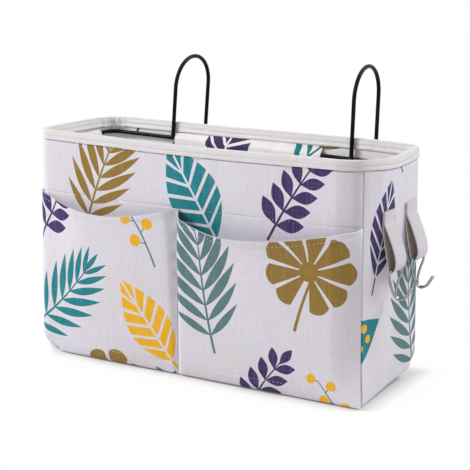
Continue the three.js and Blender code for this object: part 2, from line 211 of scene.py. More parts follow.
CLOTH_COLOURS = (srgb(225, 223, 236), srgb(226, 221, 226))
# Painted light: the lining's whites are set lighter than the outer cloth's, to stand for the light that falls
# inside the box.
LINING_COLOURS_PAINTED_LIGHT = (srgb(253, 252, 255), srgb(252, 248, 249))
TAPE_COLOURS = (srgb(228, 227, 232), srgb(228, 223, 223))
# Painted light: the tape's inside strip takes lighter whites than its outside, to stand for the light that
# falls inside the box.
INNER_TAPE_PAINTED_LIGHT_COLOURS = (srgb(253, 252, 254), srgb(253, 248, 247))
# Painted shade: the strap, plain cloth like the walls', is given darker whites than the walls' cloth.
STRAP_SHADED_COLOURS = (srgb(215, 211, 221), srgb(215, 208, 213))
# Painted shade: the strap's inner face takes brown-beige whites, standing for the warm shade inside its loop.
STRAP_BACK_SHADE_COLOURS = (srgb(206, 196, 190), srgb(198, 184, 172))
THREAD_COLOUR = srgb(238, 235, 236)[:3]
PAINT_COLOUR = srgb(9, 9, 10)[:3]
# Painted reflection: the nickel's colour is dimmed and its edge tint set dark, to stand for dark surroundings
# mirrored in the metal.
NICKEL_COLOUR_DIMMED = srgb(168, 167, 168)[:3]
DARK_REFLECTION_EDGE_TINT = (0.12, 0.12, 0.12, 1.0)
BOARD_COLOUR = srgb(185, 176, 162)[:3]
FLOOR_COLOUR = (0.88, 0.86, 0.845, 1.0)
WHITE = (1.0, 1.0, 1.0, 1.0)
INK_COLOURS = {
    "gold": srgb(150, 120, 50),
    "slate": srgb(90, 125, 128),
    "teal": srgb(15, 130, 140),
    "yellow": srgb(245, 185, 20),
    "purple": srgb(62, 48, 100),
}
INKS = list(INK_COLOURS)


# Materials.

WEAVE_PITCH = 0.6 * MM
PLY_PITCH = 0.45 * MM
UNEVEN_MEAN = 0.98
WEAVE_MEAN = 0.6


def set_inputs(tree, node, inputs):
    """Sets a node's inputs to numbers or joins them to sockets."""
    for socket, value in inputs.items():
        if isinstance(value, bpy.types.NodeSocket):
            tree.links.new(value, node.inputs[socket])
        else:
            node.inputs[socket].default_value = value


def add_node(tree, kind, inputs, **settings):
    """A shader node with its settings and inputs."""
    node = tree.nodes.new(kind)
    for key, value in settings.items():
        setattr(node, key, value)
    set_inputs(tree, node, inputs)
    return node


def calc(tree, operation, *values):
    """The output of one Math node."""
    return add_node(tree, "ShaderNodeMath", dict(enumerate(values)), operation=operation).outputs[0]


def times_plus(tree, value, factor, base):
    """A value times a factor, plus a base."""
    return calc(tree, "MULTIPLY_ADD", value, factor, base)


def about(tree, value, middle, factor, base):
    """How far a value lies over a middle, times a factor, plus a base."""
    return times_plus(tree, calc(tree, "SUBTRACT", value, middle), factor, base)


def cloth_place(tree):
    """The two sockets of a cloth's own coordinates, along and up its threads, in metres."""
    cloth = add_node(tree, "ShaderNodeUVMap", {}, uv_map="Cloth")
    parts = add_node(tree, "ShaderNodeSeparateXYZ", {"Vector": cloth.outputs["UV"]})
    return parts.outputs["X"], parts.outputs["Y"]


def stretched_noise(tree, across, up, seed, detail=2.0):
    """Noise over the cloth with grains of a size across and a size up, in metres."""
    x, y = cloth_place(tree)
    inputs = {"X": calc(tree, "DIVIDE", x, across), "Y": calc(tree, "DIVIDE", y, up), "Z": seed}
    place = add_node(tree, "ShaderNodeCombineXYZ", inputs)
    inputs = {"Vector": place.outputs[0], "Scale": 1.0, "Detail": detail, "Roughness": 0.55}
    return add_node(tree, "ShaderNodeTexNoise", inputs).outputs["Fac"]


def object_noise(tree, scale, detail=2.0):
    """Noise through a piece, with about so many grains in a metre."""
    place = add_node(tree, "ShaderNodeTexCoord", {})
    inputs = {"Vector": place.outputs["Object"], "Scale": scale, "Detail": detail}
    return add_node(tree, "ShaderNodeTexNoise", inputs).outputs["Fac"]


def weave_height(tree):
    """How high the upper thread of a plain weave stands, 0 to 1."""
    threads = [calc(tree, "DIVIDE", place, WEAVE_PITCH) for place in cloth_place(tree)]
    waves = [calc(tree, "SINE", calc(tree, "MULTIPLY", thread, math.pi)) for thread in threads]
    warp_crown, weft_crown = [calc(tree, "ABSOLUTE", wave) for wave in waves]
    crossings = calc(tree, "ADD", *[calc(tree, "FLOOR", thread) for thread in threads])
    upper = calc(tree, "FLOORED_MODULO", crossings, 2.0)
    change = calc(tree, "SUBTRACT", weft_crown, warp_crown)
    return times_plus(tree, change, upper, warp_crown)


def new_material(name):
    """An empty node material, with its tree and its main shader."""
    material = bpy.data.materials.new(name)
    material.use_nodes = True
    tree = material.node_tree
    return material, tree, tree.nodes["Principled BSDF"]


def dress(tree, shader, colour, tone, relief, strength, depth, finish):
    """Joins a colour times a tone and a relief of a depth to a shader, and sets its other inputs."""
    shade = add_node(tree, "ShaderNodeVectorMath", {0: colour, "Scale": tone}, operation="SCALE")
    bump = add_node(tree, "ShaderNodeBump", {"Height": relief, "Strength": strength, "Distance": depth})
    set_inputs(tree, shader, {"Base Color": shade.outputs[0], "Normal": bump.outputs[0], **finish})


def mixed_colour(tree, share, first, second):
    """A colour between two others. Each may be a plain colour or a socket."""
    mix = add_node(tree, "ShaderNodeMix", {0: share, 6: first, 7: second}, data_type="RGBA")
    return mix.outputs[2]


def ground_colour(tree, cool, warm):
    """The unprinted cloth: patches of a cooler and a warmer white."""
    patch = stretched_noise(tree, across=17 * MM, up=24 * MM, seed=8.4, detail=3.0)
    return mixed_colour(tree, about(tree, patch, 0.5, 2.2, 0.5), cool, warm)


def cloth_surface(tree, shader, colour, streak, hollow_shade):
    """Joins a woven colour, roughness and relief to a shader. colour is a socket.

    streak is how far uneven threads change the tone, and the hollow factor how far painted shade darkens the
    weave's hollows between threads."""
    height = weave_height(tree)
    slub = stretched_noise(tree, across=0.75 * MM, up=40 * MM, seed=3.1)
    cross_slub = stretched_noise(tree, across=22 * MM, up=0.8 * MM, seed=7.7)
    patch = stretched_noise(tree, across=4 * MM, up=8 * MM, seed=1.3)
    uneven = times_plus(tree, cross_slub, 0.45, slub)
    uneven = times_plus(tree, patch, 0.5, uneven)
    tone = times_plus(tree, uneven, streak, 1.0 - UNEVEN_MEAN * streak - WEAVE_MEAN * hollow_shade)
    # Painted shade: the colour is darkened where the weave is low, in the hollows between threads.
    tone = times_plus(tree, height, hollow_shade, tone)
    relief = times_plus(tree, uneven, 0.8, height)
    finish = {
        "Roughness": times_plus(tree, uneven, -0.1, 1.0),
        "Sheen Weight": 0.05,
        "Sheen Roughness": 0.6,
        "Specular IOR Level": 0.15,
    }
    dress(tree, shader, colour, tone, relief, 0.4, 0.25 * MM, finish)


def cloth_material(name, colours, streak=0.19, hollow_shade=0.07):
    """Plain woven cotton and linen with slubs along both threads."""
    material, tree, shader = new_material(name)
    cloth_surface(tree, shader, ground_colour(tree, *colours), streak, hollow_shade)
    return material


def ink_material(name, colour):
    """The printed cloth: ink on the thread crowns, with a little of the ground between them."""
    material, tree, shader = new_material(name)
    worn = stretched_noise(tree, across=0.9 * MM, up=38 * MM, seed=3.1)
    worn_across = stretched_noise(tree, across=26 * MM, up=0.9 * MM, seed=7.7)
    bare = calc(tree, "MULTIPLY", calc(tree, "SUBTRACT", 1.0, weave_height(tree)), 0.1)
    bare = about(tree, worn, 0.54, 0.34, bare)
    bare = about(tree, worn_across, 0.56, 0.16, bare)
    bare = calc(tree, "MAXIMUM", bare, 0.0)
    inked = mixed_colour(tree, bare, colour, ground_colour(tree, *CLOTH_COLOURS))
    cloth_surface(tree, shader, inked, 0.34, 0.1)
    return material


def thread_material():
    """Sewing thread: plies that show as fine slanted bands, raised in relief and darkened in their grooves as
    painted shade.
    """
    material, tree, shader = new_material("thread")
    slant = calc(tree, "ADD", *cloth_place(tree))
    ply = calc(tree, "SINE", calc(tree, "MULTIPLY", slant, 2 * math.pi / PLY_PITCH))
    # Painted shade: the colour is darkened in the grooves between plies, where the relief is low.
    tone = times_plus(tree, ply, 0.06, 0.94)
    dress(tree, shader, THREAD_COLOUR, tone, ply, 0.4, 0.08 * MM, {"Roughness": 0.7})
    return material


def wire_paint_material():
    """Black paint on wire, a little uneven, as a dip coat is."""
    material, tree, shader = new_material("black_paint")
    flow = object_noise(tree, 120.0)
    rough = times_plus(tree, object_noise(tree, 900.0), 0.18, 0.24)
    tone = times_plus(tree, flow, 0.6, 0.7)
    finish = {"Roughness": rough, "Specular IOR Level": 0.12}
    dress(tree, shader, PAINT_COLOUR, tone, flow, 0.25, 0.15 * MM, finish)
    return material


def nickel_material():
    """Nickel plate with fine drawing marks and a slight haze, its colour dimmed and its edges tinted dark as
    painted reflection of dark surroundings.
    """
    material, tree, shader = new_material("nickel")
    marks = stretched_noise(tree, across=12 * MM, up=0.15 * MM, seed=2.2)
    rough = times_plus(tree, marks, 0.2, 0.06)
    tone = times_plus(tree, object_noise(tree, 400.0), 0.16, 0.9)
    finish = {"Roughness": rough, "Metallic": 1.0, "Specular Tint": DARK_REFLECTION_EDGE_TINT}
    dress(tree, shader, NICKEL_COLOUR_DIMMED, tone, marks, 0.1, 0.03 * MM, finish)
    return material


def board_material():
    """Grey-brown pressed board with fibres."""
    material, tree, shader = new_material("board")
    fibre = object_noise(tree, 260.0, detail=6.0)
    tone = times_plus(tree, fibre, 0.5, 0.72)
    finish = {"Roughness": times_plus(tree, fibre, 0.15, 0.82)}
    dress(tree, shader, BOARD_COLOUR, tone, fibre, 0.3, 0.2 * MM, finish)
    return material


CLOTH = cloth_material("printed_cloth", CLOTH_COLOURS)
TAPE = cloth_material("binding_tape", TAPE_COLOURS, 0.14, 0.06)
INNER_TAPE_PAINTED_LIGHT = cloth_material("binding_tape_inside", INNER_TAPE_PAINTED_LIGHT_COLOURS, 0.14, 0.06)
STRAP_SHADED = cloth_material("strap_cloth", STRAP_SHADED_COLOURS)
STRAP_BACK_SHADE = cloth_material("strap_back", STRAP_BACK_SHADE_COLOURS)
PRINTED = [CLOTH] + [ink_material("ink_" + ink, INK_COLOURS[ink]) for ink in INKS]
# Painted light: every lining and sleeve takes the lighter lining whites.
LINED_PAINTED_LIGHT = [cloth_material("lining_cloth", LINING_COLOURS_PAINTED_LIGHT)] + PRINTED[1:]
THREAD = thread_material()
BLACK_PAINT = wire_paint_material()
NICKEL = nickel_material()
BOARD = board_material()


# The print: leaves, fronds, twigs and berry sprigs in one repeat. Outlines are in millimetres.

REPEAT_SIZE = np.array([372.0, 286.0])


def turned(outline, degrees, x, y):
    """An outline turned about its origin, clockwise, and moved."""
    angle = math.radians(-degrees)
    c, s = math.cos(angle), math.sin(angle)
    return outline @ np.array([[c, s], [-s, c]]) + np.array([x, y])


def leaf(length, width, bow=0.0, widest=0.45, count=12):
    """A pointed leaf that grows up from the origin and bows to one side."""
    t = np.linspace(0, 1, count)
    skew = math.log(0.5) / math.log(widest)
    half = width / 2 * np.sin(np.pi * t**skew)
    middle = bow * length * t**2
    right = points_of(middle + half, t * length)
    left = points_of(middle - half, t * length)
    return np.concatenate([right, left[-2:0:-1]])


def disc(x, y, radius):
    """A round dot."""
    return circle_points(round_angles(16), radius, x, y)


def stem(points, base_width, tip_width):
    """A thin stem along points, wider at its base."""
    along = unit(np.gradient(points, axis=0))
    aside = points_of(along[:, 1], -along[:, 0])
    half = np.linspace(base_width, tip_width, len(points))[:, None] / 2
    return np.concatenate([points + aside * half, (points - aside * half)[::-1]])


def bowed_line(length, bow, count=14):
    """Points up from the origin that bow to one side."""
    t = np.linspace(0, 1, count)
    return points_of(bow * length * t**2, length * t)


def branch(ink, length, pairs, bow, width, first, reach, pair, tip):
    """A bowed stem with pairs of leaves along a reach of it, and one at its tip.

    pair(t, side) gives a leaf at a share t of the stem, and its angle from the stem."""
    shapes = [(ink, stem(bowed_line(length, bow), width, 1.0))]
    for k in range(pairs):
        t = first + reach * k / (pairs - 1)
        lean = math.degrees(math.atan(2 * bow * t))
        for side in (-1, 1):
            outline, degrees = pair(t, side)
            place = (bow * length * t**2, length * t)
            shapes.append((ink, turned(outline, lean + side * degrees, *place)))
    shapes.append((ink, turned(tip, math.degrees(math.atan(2 * bow)), bow * length, 0.97 * length)))
    return shapes


def frond(ink, length, pairs=8, bow=0.12):
    """A palm frond: a midrib with pairs of slender leaflets."""
    def pair(t, side):
        size = length * (0.2 + 0.26 * math.sin(math.pi * (0.1 + 0.85 * t)))
        return leaf(size, 0.17 * size, -0.1 * side), 62 - 34 * t

    tip = leaf(0.24 * length, 0.05 * length)
    return branch(ink, length, pairs, bow, 2.6, 0.14, 0.8, pair, tip)


def twig(ink, length, pairs=6, bow=0.1):
    """A twig with pairs of rounded leaves and one at its tip."""
    def pair(t, side):
        size = length * (0.3 - 0.1 * t)
        return leaf(size, 0.44 * size, 0.0, 0.54), 60 - 18 * t

    tip = leaf(0.2 * length, 0.085 * length, 0.0, 0.54)
    return branch(ink, length, pairs, bow, 2.4, 0.16, 0.74, pair, tip)


def lobed_leaf(ink, length, width, lobes=6, gap=0.035):
    """A broad leaf cut into slanting lobes by its veins."""
    def half(t):
        return width / 2 * np.sin(np.pi * np.clip(t, 0, 1) ** 0.85)

    shapes = [(ink, stem(bowed_line(0.18 * length, 0.0, 4) - [0, 0.18 * length], 2.2, 2.2))]
    slant = 0.16
    for k in range(lobes):
        low = 0.02 + 0.84 * k / lobes
        high = low + 0.84 / lobes - gap
        outer = np.linspace(low + slant * (low > 0.05), min(high + slant, 1.0), 6)
        edge = points_of(half(outer), outer * length)
        lobe = np.concatenate([[[1.0, low * length]], edge, [[1.0, high * length]]])
        shapes.append((ink, lobe))
        shapes.append((ink, (lobe * [-1, 1])[::-1]))
    return shapes


def dotted_leaf(ink, dot_ink, length, width):
    """A plain leaf with two rows of dots on it."""
    shapes = [(ink, leaf(length, width, 0.06))]
    for k in range(5):
        t = 0.22 + 0.13 * k
        reach = 0.2 * width * math.sin(math.pi * t**0.86)
        size = 0.085 * width * (1.15 - 0.5 * abs(t - 0.45))
        for side in (-1, 1):
            shapes.append((dot_ink, disc(0.06 * length * t**2 + side * reach, t * length, size)))
    return shapes


def sprig(stem_ink, berry_ink, length, berries=7):
    """A thin sprig with berries on short stalks."""
    bow = -0.16
    shapes = [(stem_ink, stem(bowed_line(length, bow), 1.8, 0.9))]
    for k in range(berries):
        t = 0.25 + 0.75 * k / (berries - 1)
        side = 1 if k % 2 else -1
        root = np.array([bow * length * t**2, length * t])
        out = root + np.array([side * 0.11, 0.07]) * length * (1.1 - 0.5 * t)
        shapes.append((stem_ink, stem(np.linspace(root, out, 4), 0.9, 0.9)))
        shapes.append((berry_ink, disc(out[0], out[1], 0.062 * length * (1.1 - 0.3 * t))))
    return shapes


def round_leaf(ink, radius, parts=9):
    """A round leaf cut by slits that run in towards its stalk."""
    stalk = bowed_line(1.25 * radius, 0.08, 8) - [0, 1.25 * radius]
    shapes = [(ink, stem(stalk, 2.8, 2.0)), (ink, disc(0, 0, 0.2 * radius))]
    step = 300 / (parts - 1)
    share = np.linspace(1, -1, 9)
    for k in range(parts):
        middle = -150 + step * k
        angle = np.radians(middle + 0.41 * step * share)
        reach = radius * (1 - 0.14 * abs(middle) / 150) * (1 - 0.09 * share**2)
        outer = points_of(reach * np.sin(angle), reach * np.cos(angle))
        ends = angle[[-1, 0]]
        inner = 0.12 * radius * points_of(np.sin(ends), np.cos(ends))
        shapes.append((ink, np.concatenate([outer, inner])))
    return shapes


def print_repeat():
    """The shapes of one repeat of the print, each with the place of its ink in the list of looks."""
    # Each motif, with its length, the place of its middle and its turn in degrees.
    layout = [
        (frond("gold", 104), 104, 46, 50, 16),
        (lobed_leaf("teal", 90, 50), 90, 142, 46, -32),
        (twig("purple", 92), 92, 236, 54, 28),
        (sprig("slate", "yellow", 84), 84, 326, 44, -20),
        (dotted_leaf("teal", "yellow", 92, 42), 92, 92, 146, 62),
        (frond("slate", 112), 112, 190, 142, -14),
        (round_leaf("gold", 42), -40, 286, 150, 14),
        (twig("teal", 96, 6, -0.1), 96, 4, 148, -24),
        (sprig("slate", "yellow", 80), 80, 50, 240, 34),
        (lobed_leaf("purple", 84, 44), 84, 140, 238, 20),
        (frond("teal", 98, 7, -0.1), 98, 238, 242, 52),
        (lobed_leaf("yellow", 84, 42), 84, 330, 242, -36),
    ]
    shapes = []
    for motif, length, x, y, degrees in layout:
        for ink, outline in motif:
            centred = outline - [0, length / 2]
            shapes.append((INKS.index(ink) + 1, turned(centred, degrees, x, y)))
    return shapes


REPEAT = print_repeat()


def print_over(low, high, shift):
    """The print's shapes that touch a piece of cloth from low to high, in millimetres."""
    shapes = []
    for ink, outline in REPEAT:
        base = outline - np.array(shift)
        first = np.ceil((low - base.max(0)) / REPEAT_SIZE).astype(int)
        last = np.floor((high - base.min(0)) / REPEAT_SIZE).astype(int)
        for i in range(first[0], last[0] + 1):
            for j in range(first[1], last[1] + 1):
                shapes.append((ink, base + REPEAT_SIZE * [i, j]))
    return shapes


# Meshes.

SHARP_ANGLE = math.radians(50)
CUT_TOLERANCE_MM = 1e-4


def make_piece(name, points, faces, cloth, looks, face_looks=None, corner_normals=None):
    """A smooth mesh object with its cloth coordinates in metres."""
    mesh = bpy.data.meshes.new(name)
    mesh.from_pydata(points.tolist(), [], faces)
    for look in looks:
        mesh.materials.append(look)
    if face_looks is not None:
        mesh.polygons.foreach_set("material_index", np.asarray(face_looks, np.int32))
    corners = np.empty(len(mesh.loops), np.int32)
    mesh.loops.foreach_get("vertex_index", corners)
    layer = mesh.uv_layers.new(name="Cloth")
    layer.data.foreach_set("uv", cloth[corners].astype(np.float32).ravel())
    mesh.shade_smooth()
    if corner_normals is None:
        mesh.set_sharp_from_angle(angle=SHARP_ANGLE)
    else:
        mesh.normals_split_custom_set(corner_normals.tolist())
    piece = bpy.data.objects.new(name, mesh)
    bpy.context.scene.collection.objects.link(piece)
    return piece


def put(piece, slot, body, *nodes):
    """Puts a piece in the place of its nodes, which it hides, on a body."""
    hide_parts(*nodes)
    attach(piece, body)


def surface(place, flat, step=0.05 * MM):
    """Points and unit normals of place(a, b) at flat cloth points."""
    a, b = flat[:, 0], flat[:, 1]
    along_a = place(a + step, b) - place(a - step, b)
    along_b = place(a, b + step) - place(a, b - step)
    return place(a, b), unit(np.cross(along_a, along_b))


def fine_outline(outline, longest=3.0):
    """An outline with no edge longer than a few millimetres."""
    points = []
    for start, end in zip(outline, np.roll(outline, -1, axis=0)):
        count = max(1, math.ceil(np.linalg.norm(end - start) / longest))
        points.append(start + (end - start) * np.linspace(0, 1, count, endpoint=False)[:, None])
    return np.concatenate(points)


def clear_of(points, outlines, distance=1.1, batch=400):
    """Which points lie clear of every outline. They are tested in batches, to save memory."""
    clear = np.ones(len(points), bool)
    if not outlines:
        return clear
    marks = np.concatenate([fine_outline(outline, 1.0) for outline in outlines])
    for i in range(0, len(points), batch):
        part = points[i : i + batch]
        nearest = ((part[:, None, :] - marks[None]) ** 2).sum(2).min(1)
        clear[i : i + batch] = nearest > distance**2
    return clear


def cut_print(grid, edge, shapes):
    """Triangles over a cloth's grid with the print's outlines cut in. Gives points, triangles and inks."""
    outlines = [fine_outline(outline) for _, outline in shapes]
    inner = np.ones(len(grid), bool)
    inner[edge] = False
    kept = grid[inner][clear_of(grid[inner], outlines)]
    faces = [list(range(len(edge)))]
    count = len(edge) + len(kept)
    for outline in outlines:
        faces.append(list(range(count, count + len(outline))))
        count += len(outline)
    every = [Vector(p) for p in np.concatenate([grid[edge], kept, *outlines]).tolist()]
    found = delaunay_2d_cdt(every, [], faces, 1, CUT_TOLERANCE_MM)
    flat = np.array([tuple(v) for v in found[0]])
    triangles = []
    inks = []
    for corners, sources in zip(found[2], found[5]):
        if 0 in sources:
            top = max(sources)
            triangles.append(corners)
            inks.append(shapes[top - 1][0] if top else 0)
    triangles = np.array(triangles)
    p, q, r = (flat[triangles[:, k]] for k in range(3))
    area = (q - p)[:, 0] * (r - p)[:, 1] - (q - p)[:, 1] * (r - p)[:, 0]
    triangles[area < 0] = triangles[area < 0][:, ::-1]
    used, places = np.unique(triangles, return_inverse=True)
    return flat[used], places.reshape(-1, 3), np.array(inks)


def sheet_grid(columns, span, shares):
    """The points of a cloth's grid, column by column, and the places of its edge in order."""
    low, high = span(columns)
    b = low[:, None] + (high - low)[:, None] * shares
    grid = points_of(columns[:, None], b).reshape(-1, 2)
    place = np.arange(len(grid)).reshape(len(columns), len(shares))
    edge = np.concatenate([place[:-1, 0], place[-1, :-1], place[:0:-1, -1], place[0, :0:-1]])
    return grid, edge


def cloth_sheet(name, columns, span, shares, place, cloth, shift=None, looks=PRINTED):
    """A sheet over place(a, b) with its thickness behind it, its area and its cut size.

    span gives the low and high b of each column, and shift moves the print."""
    grid, edge = sheet_grid(columns, span, shares)
    shapes = [] if shift is None else print_over(grid.min(0) / MM, grid.max(0) / MM, shift)
    flat, front, inks = cut_print(grid / MM, edge, shapes)
    flat = flat * MM
    points, normals = surface(place, flat)
    count = len(points)
    back = front[:, ::-1] + count
    ways = np.concatenate([front[:, [0, 1]], front[:, [1, 2]], front[:, [2, 0]]])
    key = ways[:, 0] * count + ways[:, 1]
    lone = ~np.isin(key, ways[:, 1] * count + ways[:, 0])
    start, end = ways[lone].T
    sides = points_of(end, start, start + count, end + count)
    both = np.concatenate([points, points - cloth * normals])
    across = np.cross(both[sides[:, 1]] - both[sides[:, 0]], both[sides[:, 2]] - both[sides[:, 1]])
    side_normals = np.repeat(unit(across + 1e-12), 4, axis=0)
    corner_normals = np.concatenate([normals[front.ravel()], -normals[back.ravel() - count], side_normals])
    faces = front.tolist() + back.tolist() + sides.tolist()
    face_looks = np.concatenate([inks, np.zeros(len(back) + len(sides), int)])
    piece = make_piece(name, both, faces, np.tile(flat, (2, 1)), looks, face_looks, corner_normals)
    corners = points[front]
    area = np.linalg.norm(np.cross(corners[:, 1] - corners[:, 0], corners[:, 2] - corners[:, 0]), axis=1)
    return piece, float(area.sum() / 2), sheet_lengths(columns, span, place)


def sheet_lengths(columns, span, place, count=80):
    """The width and length of a sheet, measured along its surface."""
    low, high = span(columns)
    widest = max(line_length(place(columns, low)), line_length(place(columns, high)))
    rows = np.linspace(0, 1, count)
    longest = 0.0
    for a, start, end in zip(columns, low, high):
        longest = max(longest, line_length(place(np.full(count, a), start + (end - start) * rows)))
    return widest, longest


def finish_cloth(sheet, node, slot):
    """Puts a cloth piece in its node's place on the caddy."""
    piece, area, (width, length) = sheet
    put(piece, slot, "caddy", node)
    min(area, width * length)


def upright_span(low, high):
    """The foot and top of an upright piece, the same all along it."""
    return lambda a: (0 * a + low, 0 * a + high)


def sweep(name, path, sides, ups, sections, looks, closed=False, shape=None, ring_looks=None):
    """A section of points (side, up) carried along a path. sections may differ, and shape moves the points.

    ring_looks gives the place in looks of each strip of the section."""
    count = len(path)
    sections = np.broadcast_to(sections, (count,) + sections.shape[-2:])
    ring = sections.shape[1]
    points = path[:, None] + sides[:, None] * sections[..., :1] + ups[:, None] * sections[..., 1:]
    if shape:
        points = shape(points)
    place = np.arange(count * ring).reshape(count, ring)
    last = count if closed else count - 1
    here = place[np.arange(last)]
    following = place[(np.arange(last) + 1) % count]
    quads = points_of(here, np.roll(here, -1, 1), np.roll(following, -1, 1), following)
    faces = quads.reshape(-1, 4).tolist()
    if not closed:
        faces += [place[0, ::-1].tolist(), place[-1].tolist()]
    around = distances(sections[0])
    cloth = points_of(distances(path)[:, None], around).reshape(-1, 2)
    face_looks = None
    if ring_looks is not None:
        ends = len(faces) - last * ring
        face_looks = np.concatenate([np.tile(ring_looks, last), np.zeros(ends, int)])
    return make_piece(name, points.reshape(-1, 3), faces, cloth, looks, face_looks)


TUBE_END_REACH = 0.35
TUBE_END_RADIUS = 0.6
TUBE_FIRST_SIDE = [0.31, 0.52, 0.8]


def tube(name, path, radius, looks, ring=16):
    """A round wire along a path, with slightly rounded ends. radius may be a row, one for each point."""
    radius = np.broadcast_to(radius, len(path)).astype(float)
    along = unit(np.gradient(path, axis=0))
    reach = TUBE_END_REACH * radius[0]
    path = np.concatenate([[path[0] - along[0] * reach], path, [path[-1] + along[-1] * reach]])
    along = np.concatenate([along[:1], along, along[-1:]])
    radius = np.concatenate([[TUBE_END_RADIUS * radius[0]], radius, [TUBE_END_RADIUS * radius[-1]]])
    sides = [unit(np.cross(along[0], TUBE_FIRST_SIDE))]
    for direction in along[1:]:
        sides.append(unit(sides[-1] - direction * np.dot(sides[-1], direction)))
    sides = np.array(sides)
    sections = circle_points(round_angles(ring)) * radius[:, None, None]
    return sweep(name, path, sides, np.cross(along, sides), sections, looks)


# Along one stitch: how high its middle line lies and how thick it is, in thread radii.
STITCH_ARCH = np.array([-1.2, 0.2, 0.75, 0.75, 0.2, -1.2])
STITCH_THICK = np.array([0.55, 0.9, 1.0, 1.0, 0.9, 0.55])
STITCH_RING = 6


def stitches(name, path, normals, kind):
    """A row of thread stitches that lie on a surface along a path and dip into it at their ends."""
    length, gap, radius = kind
    along = distances(path)
    count = max(1, int(along[-1] / (length + gap)))
    starts = (np.arange(count) + 0.5) * along[-1] / count - length / 2
    rows = len(STITCH_ARCH)
    at = starts[:, None] + length * np.linspace(0, 1, rows)
    spots = points_of(*[np.interp(at, along, part) for part in path.T])
    outward = unit(points_of(*[np.interp(at, along, part) for part in normals.T]))
    spots = spots + outward * (STITCH_ARCH * radius)[:, None]
    forward = unit(np.gradient(spots, axis=1))
    aside = unit(np.cross(forward, outward))
    upward = np.cross(aside, forward)
    angle = round_angles(STITCH_RING)
    thick = (STITCH_THICK * radius)[:, None, None]
    points = spots[:, :, None] + aside[:, :, None] * (np.cos(angle)[:, None] * thick)
    points = points + upward[:, :, None] * (np.sin(angle)[:, None] * thick)
    place = np.arange(rows * STITCH_RING).reshape(rows, STITCH_RING)
    here, following = place[:-1], place[1:]
    one = points_of(here, following, np.roll(following, -1, 1), np.roll(here, -1, 1)).reshape(-1, 4)
    faces = (one + place.size * np.arange(count)[:, None, None]).reshape(-1, 4).tolist()
    cloth = points_of(np.repeat(at.ravel(), STITCH_RING), np.tile(angle * radius, count * rows))
    piece = make_piece(name, points.reshape(-1, 3), faces, cloth, [THREAD])
    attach(piece, "caddy")


# How the soft box settles: its corners rounder or sharper, one foot corner lifted and its rim uneven.
# A corner is named by the signs of its x and y.

FOOT_REACH = 17 * MM
ROUND_FEET = {(-1, -1): (26 * MM, 0.28), (1, 1): (20 * MM, 0.4), (-1, 1): (24 * MM, 0.2)}
SHARP_FOOT = (1, -1)
SHARP_RADIUS = 2 * MM
SHARP_FADE = 1.5
ROUND_RIM = (-1, 1)
ROUND_RIM_RADIUS = 26 * MM
ROUND_RIM_FROM = 0.4 * RIM_HIGH.z
ROUND_RIM_TO = 0.95 * RIM_HIGH.z
SPREADS = {(-1, -1): (4 * MM, 1.4 * MM), (1, 1): (3 * MM, 0.0)}
SPREAD_FADE = 4
LIFTED_CORNER = 9 * MM
LIFT_REACH = 130 * MM
LIFT_HEIGHT = 95 * MM
LIFT_FADE = 1.5
DRAWN_IN = 9 * MM
DRAWN_LENGTH = 27 * MM
DRAWN_FADE = 1.3
DRAWN_BACK_TO = -0.3 * HALF_DEPTH
DRAWN_FOOT = 45 * MM
DRAWN_WAY = (-0.5, 0.866)
RIM_PRESS = 1.0 * MM
RIM_PRESS_MIDDLE = 0.65
RIM_PRESS_TO_FRONT = 0.35
RIM_RISE_FROM = 0.6 * RIM_HIGH.z
RIM_RISES = [(-1, -1, 3.0 * MM, 90 * MM), (1, -1, 1.7 * MM, 90 * MM), (1, 0.15, -4.5 * MM, 40 * MM)]


def corner_reach(u, v, side, radius):
    """How far a rounded corner lies from a point that is a side in from both walls, along (u, v)."""
    square = side - radius
    on_side = side / np.maximum(np.maximum(u, v), 1e-9)
    middle = square * (u + v)
    on_arc = middle + np.sqrt(np.maximum(middle**2 - 2 * square**2 + radius**2, 0))
    return np.where(on_side * np.minimum(u, v) > square, on_arc, on_side)


def reshaped(x, y, corner, radius, share, tuck=0.0):
    """Points in plan, with one corner's radius changed by a share, and its edge tucked in."""
    side = max(radius, CORNER_RADIUS)
    along = corner[0] * x - (HALF_WIDTH - side)
    deep = corner[1] * y - (HALF_DEPTH - side)
    reach = np.maximum(np.hypot(along, deep), 1e-9)
    u, v = along / reach, deep / reach
    ratio = corner_reach(u, v, side, radius) / corner_reach(u, v, side, CORNER_RADIUS)
    edge = smooth_step(np.minimum(along, deep), 0, 0.5 * side)
    scale = (1 + share * (ratio - 1)) * (1 - tuck * share * edge)
    inside = (along > 0) & (deep > 0)
    new_x = np.where(inside, corner[0] * (HALF_WIDTH - side + along * scale), x)
    new_y = np.where(inside, corner[1] * (HALF_DEPTH - side + deep * scale), y)
    return new_x, new_y


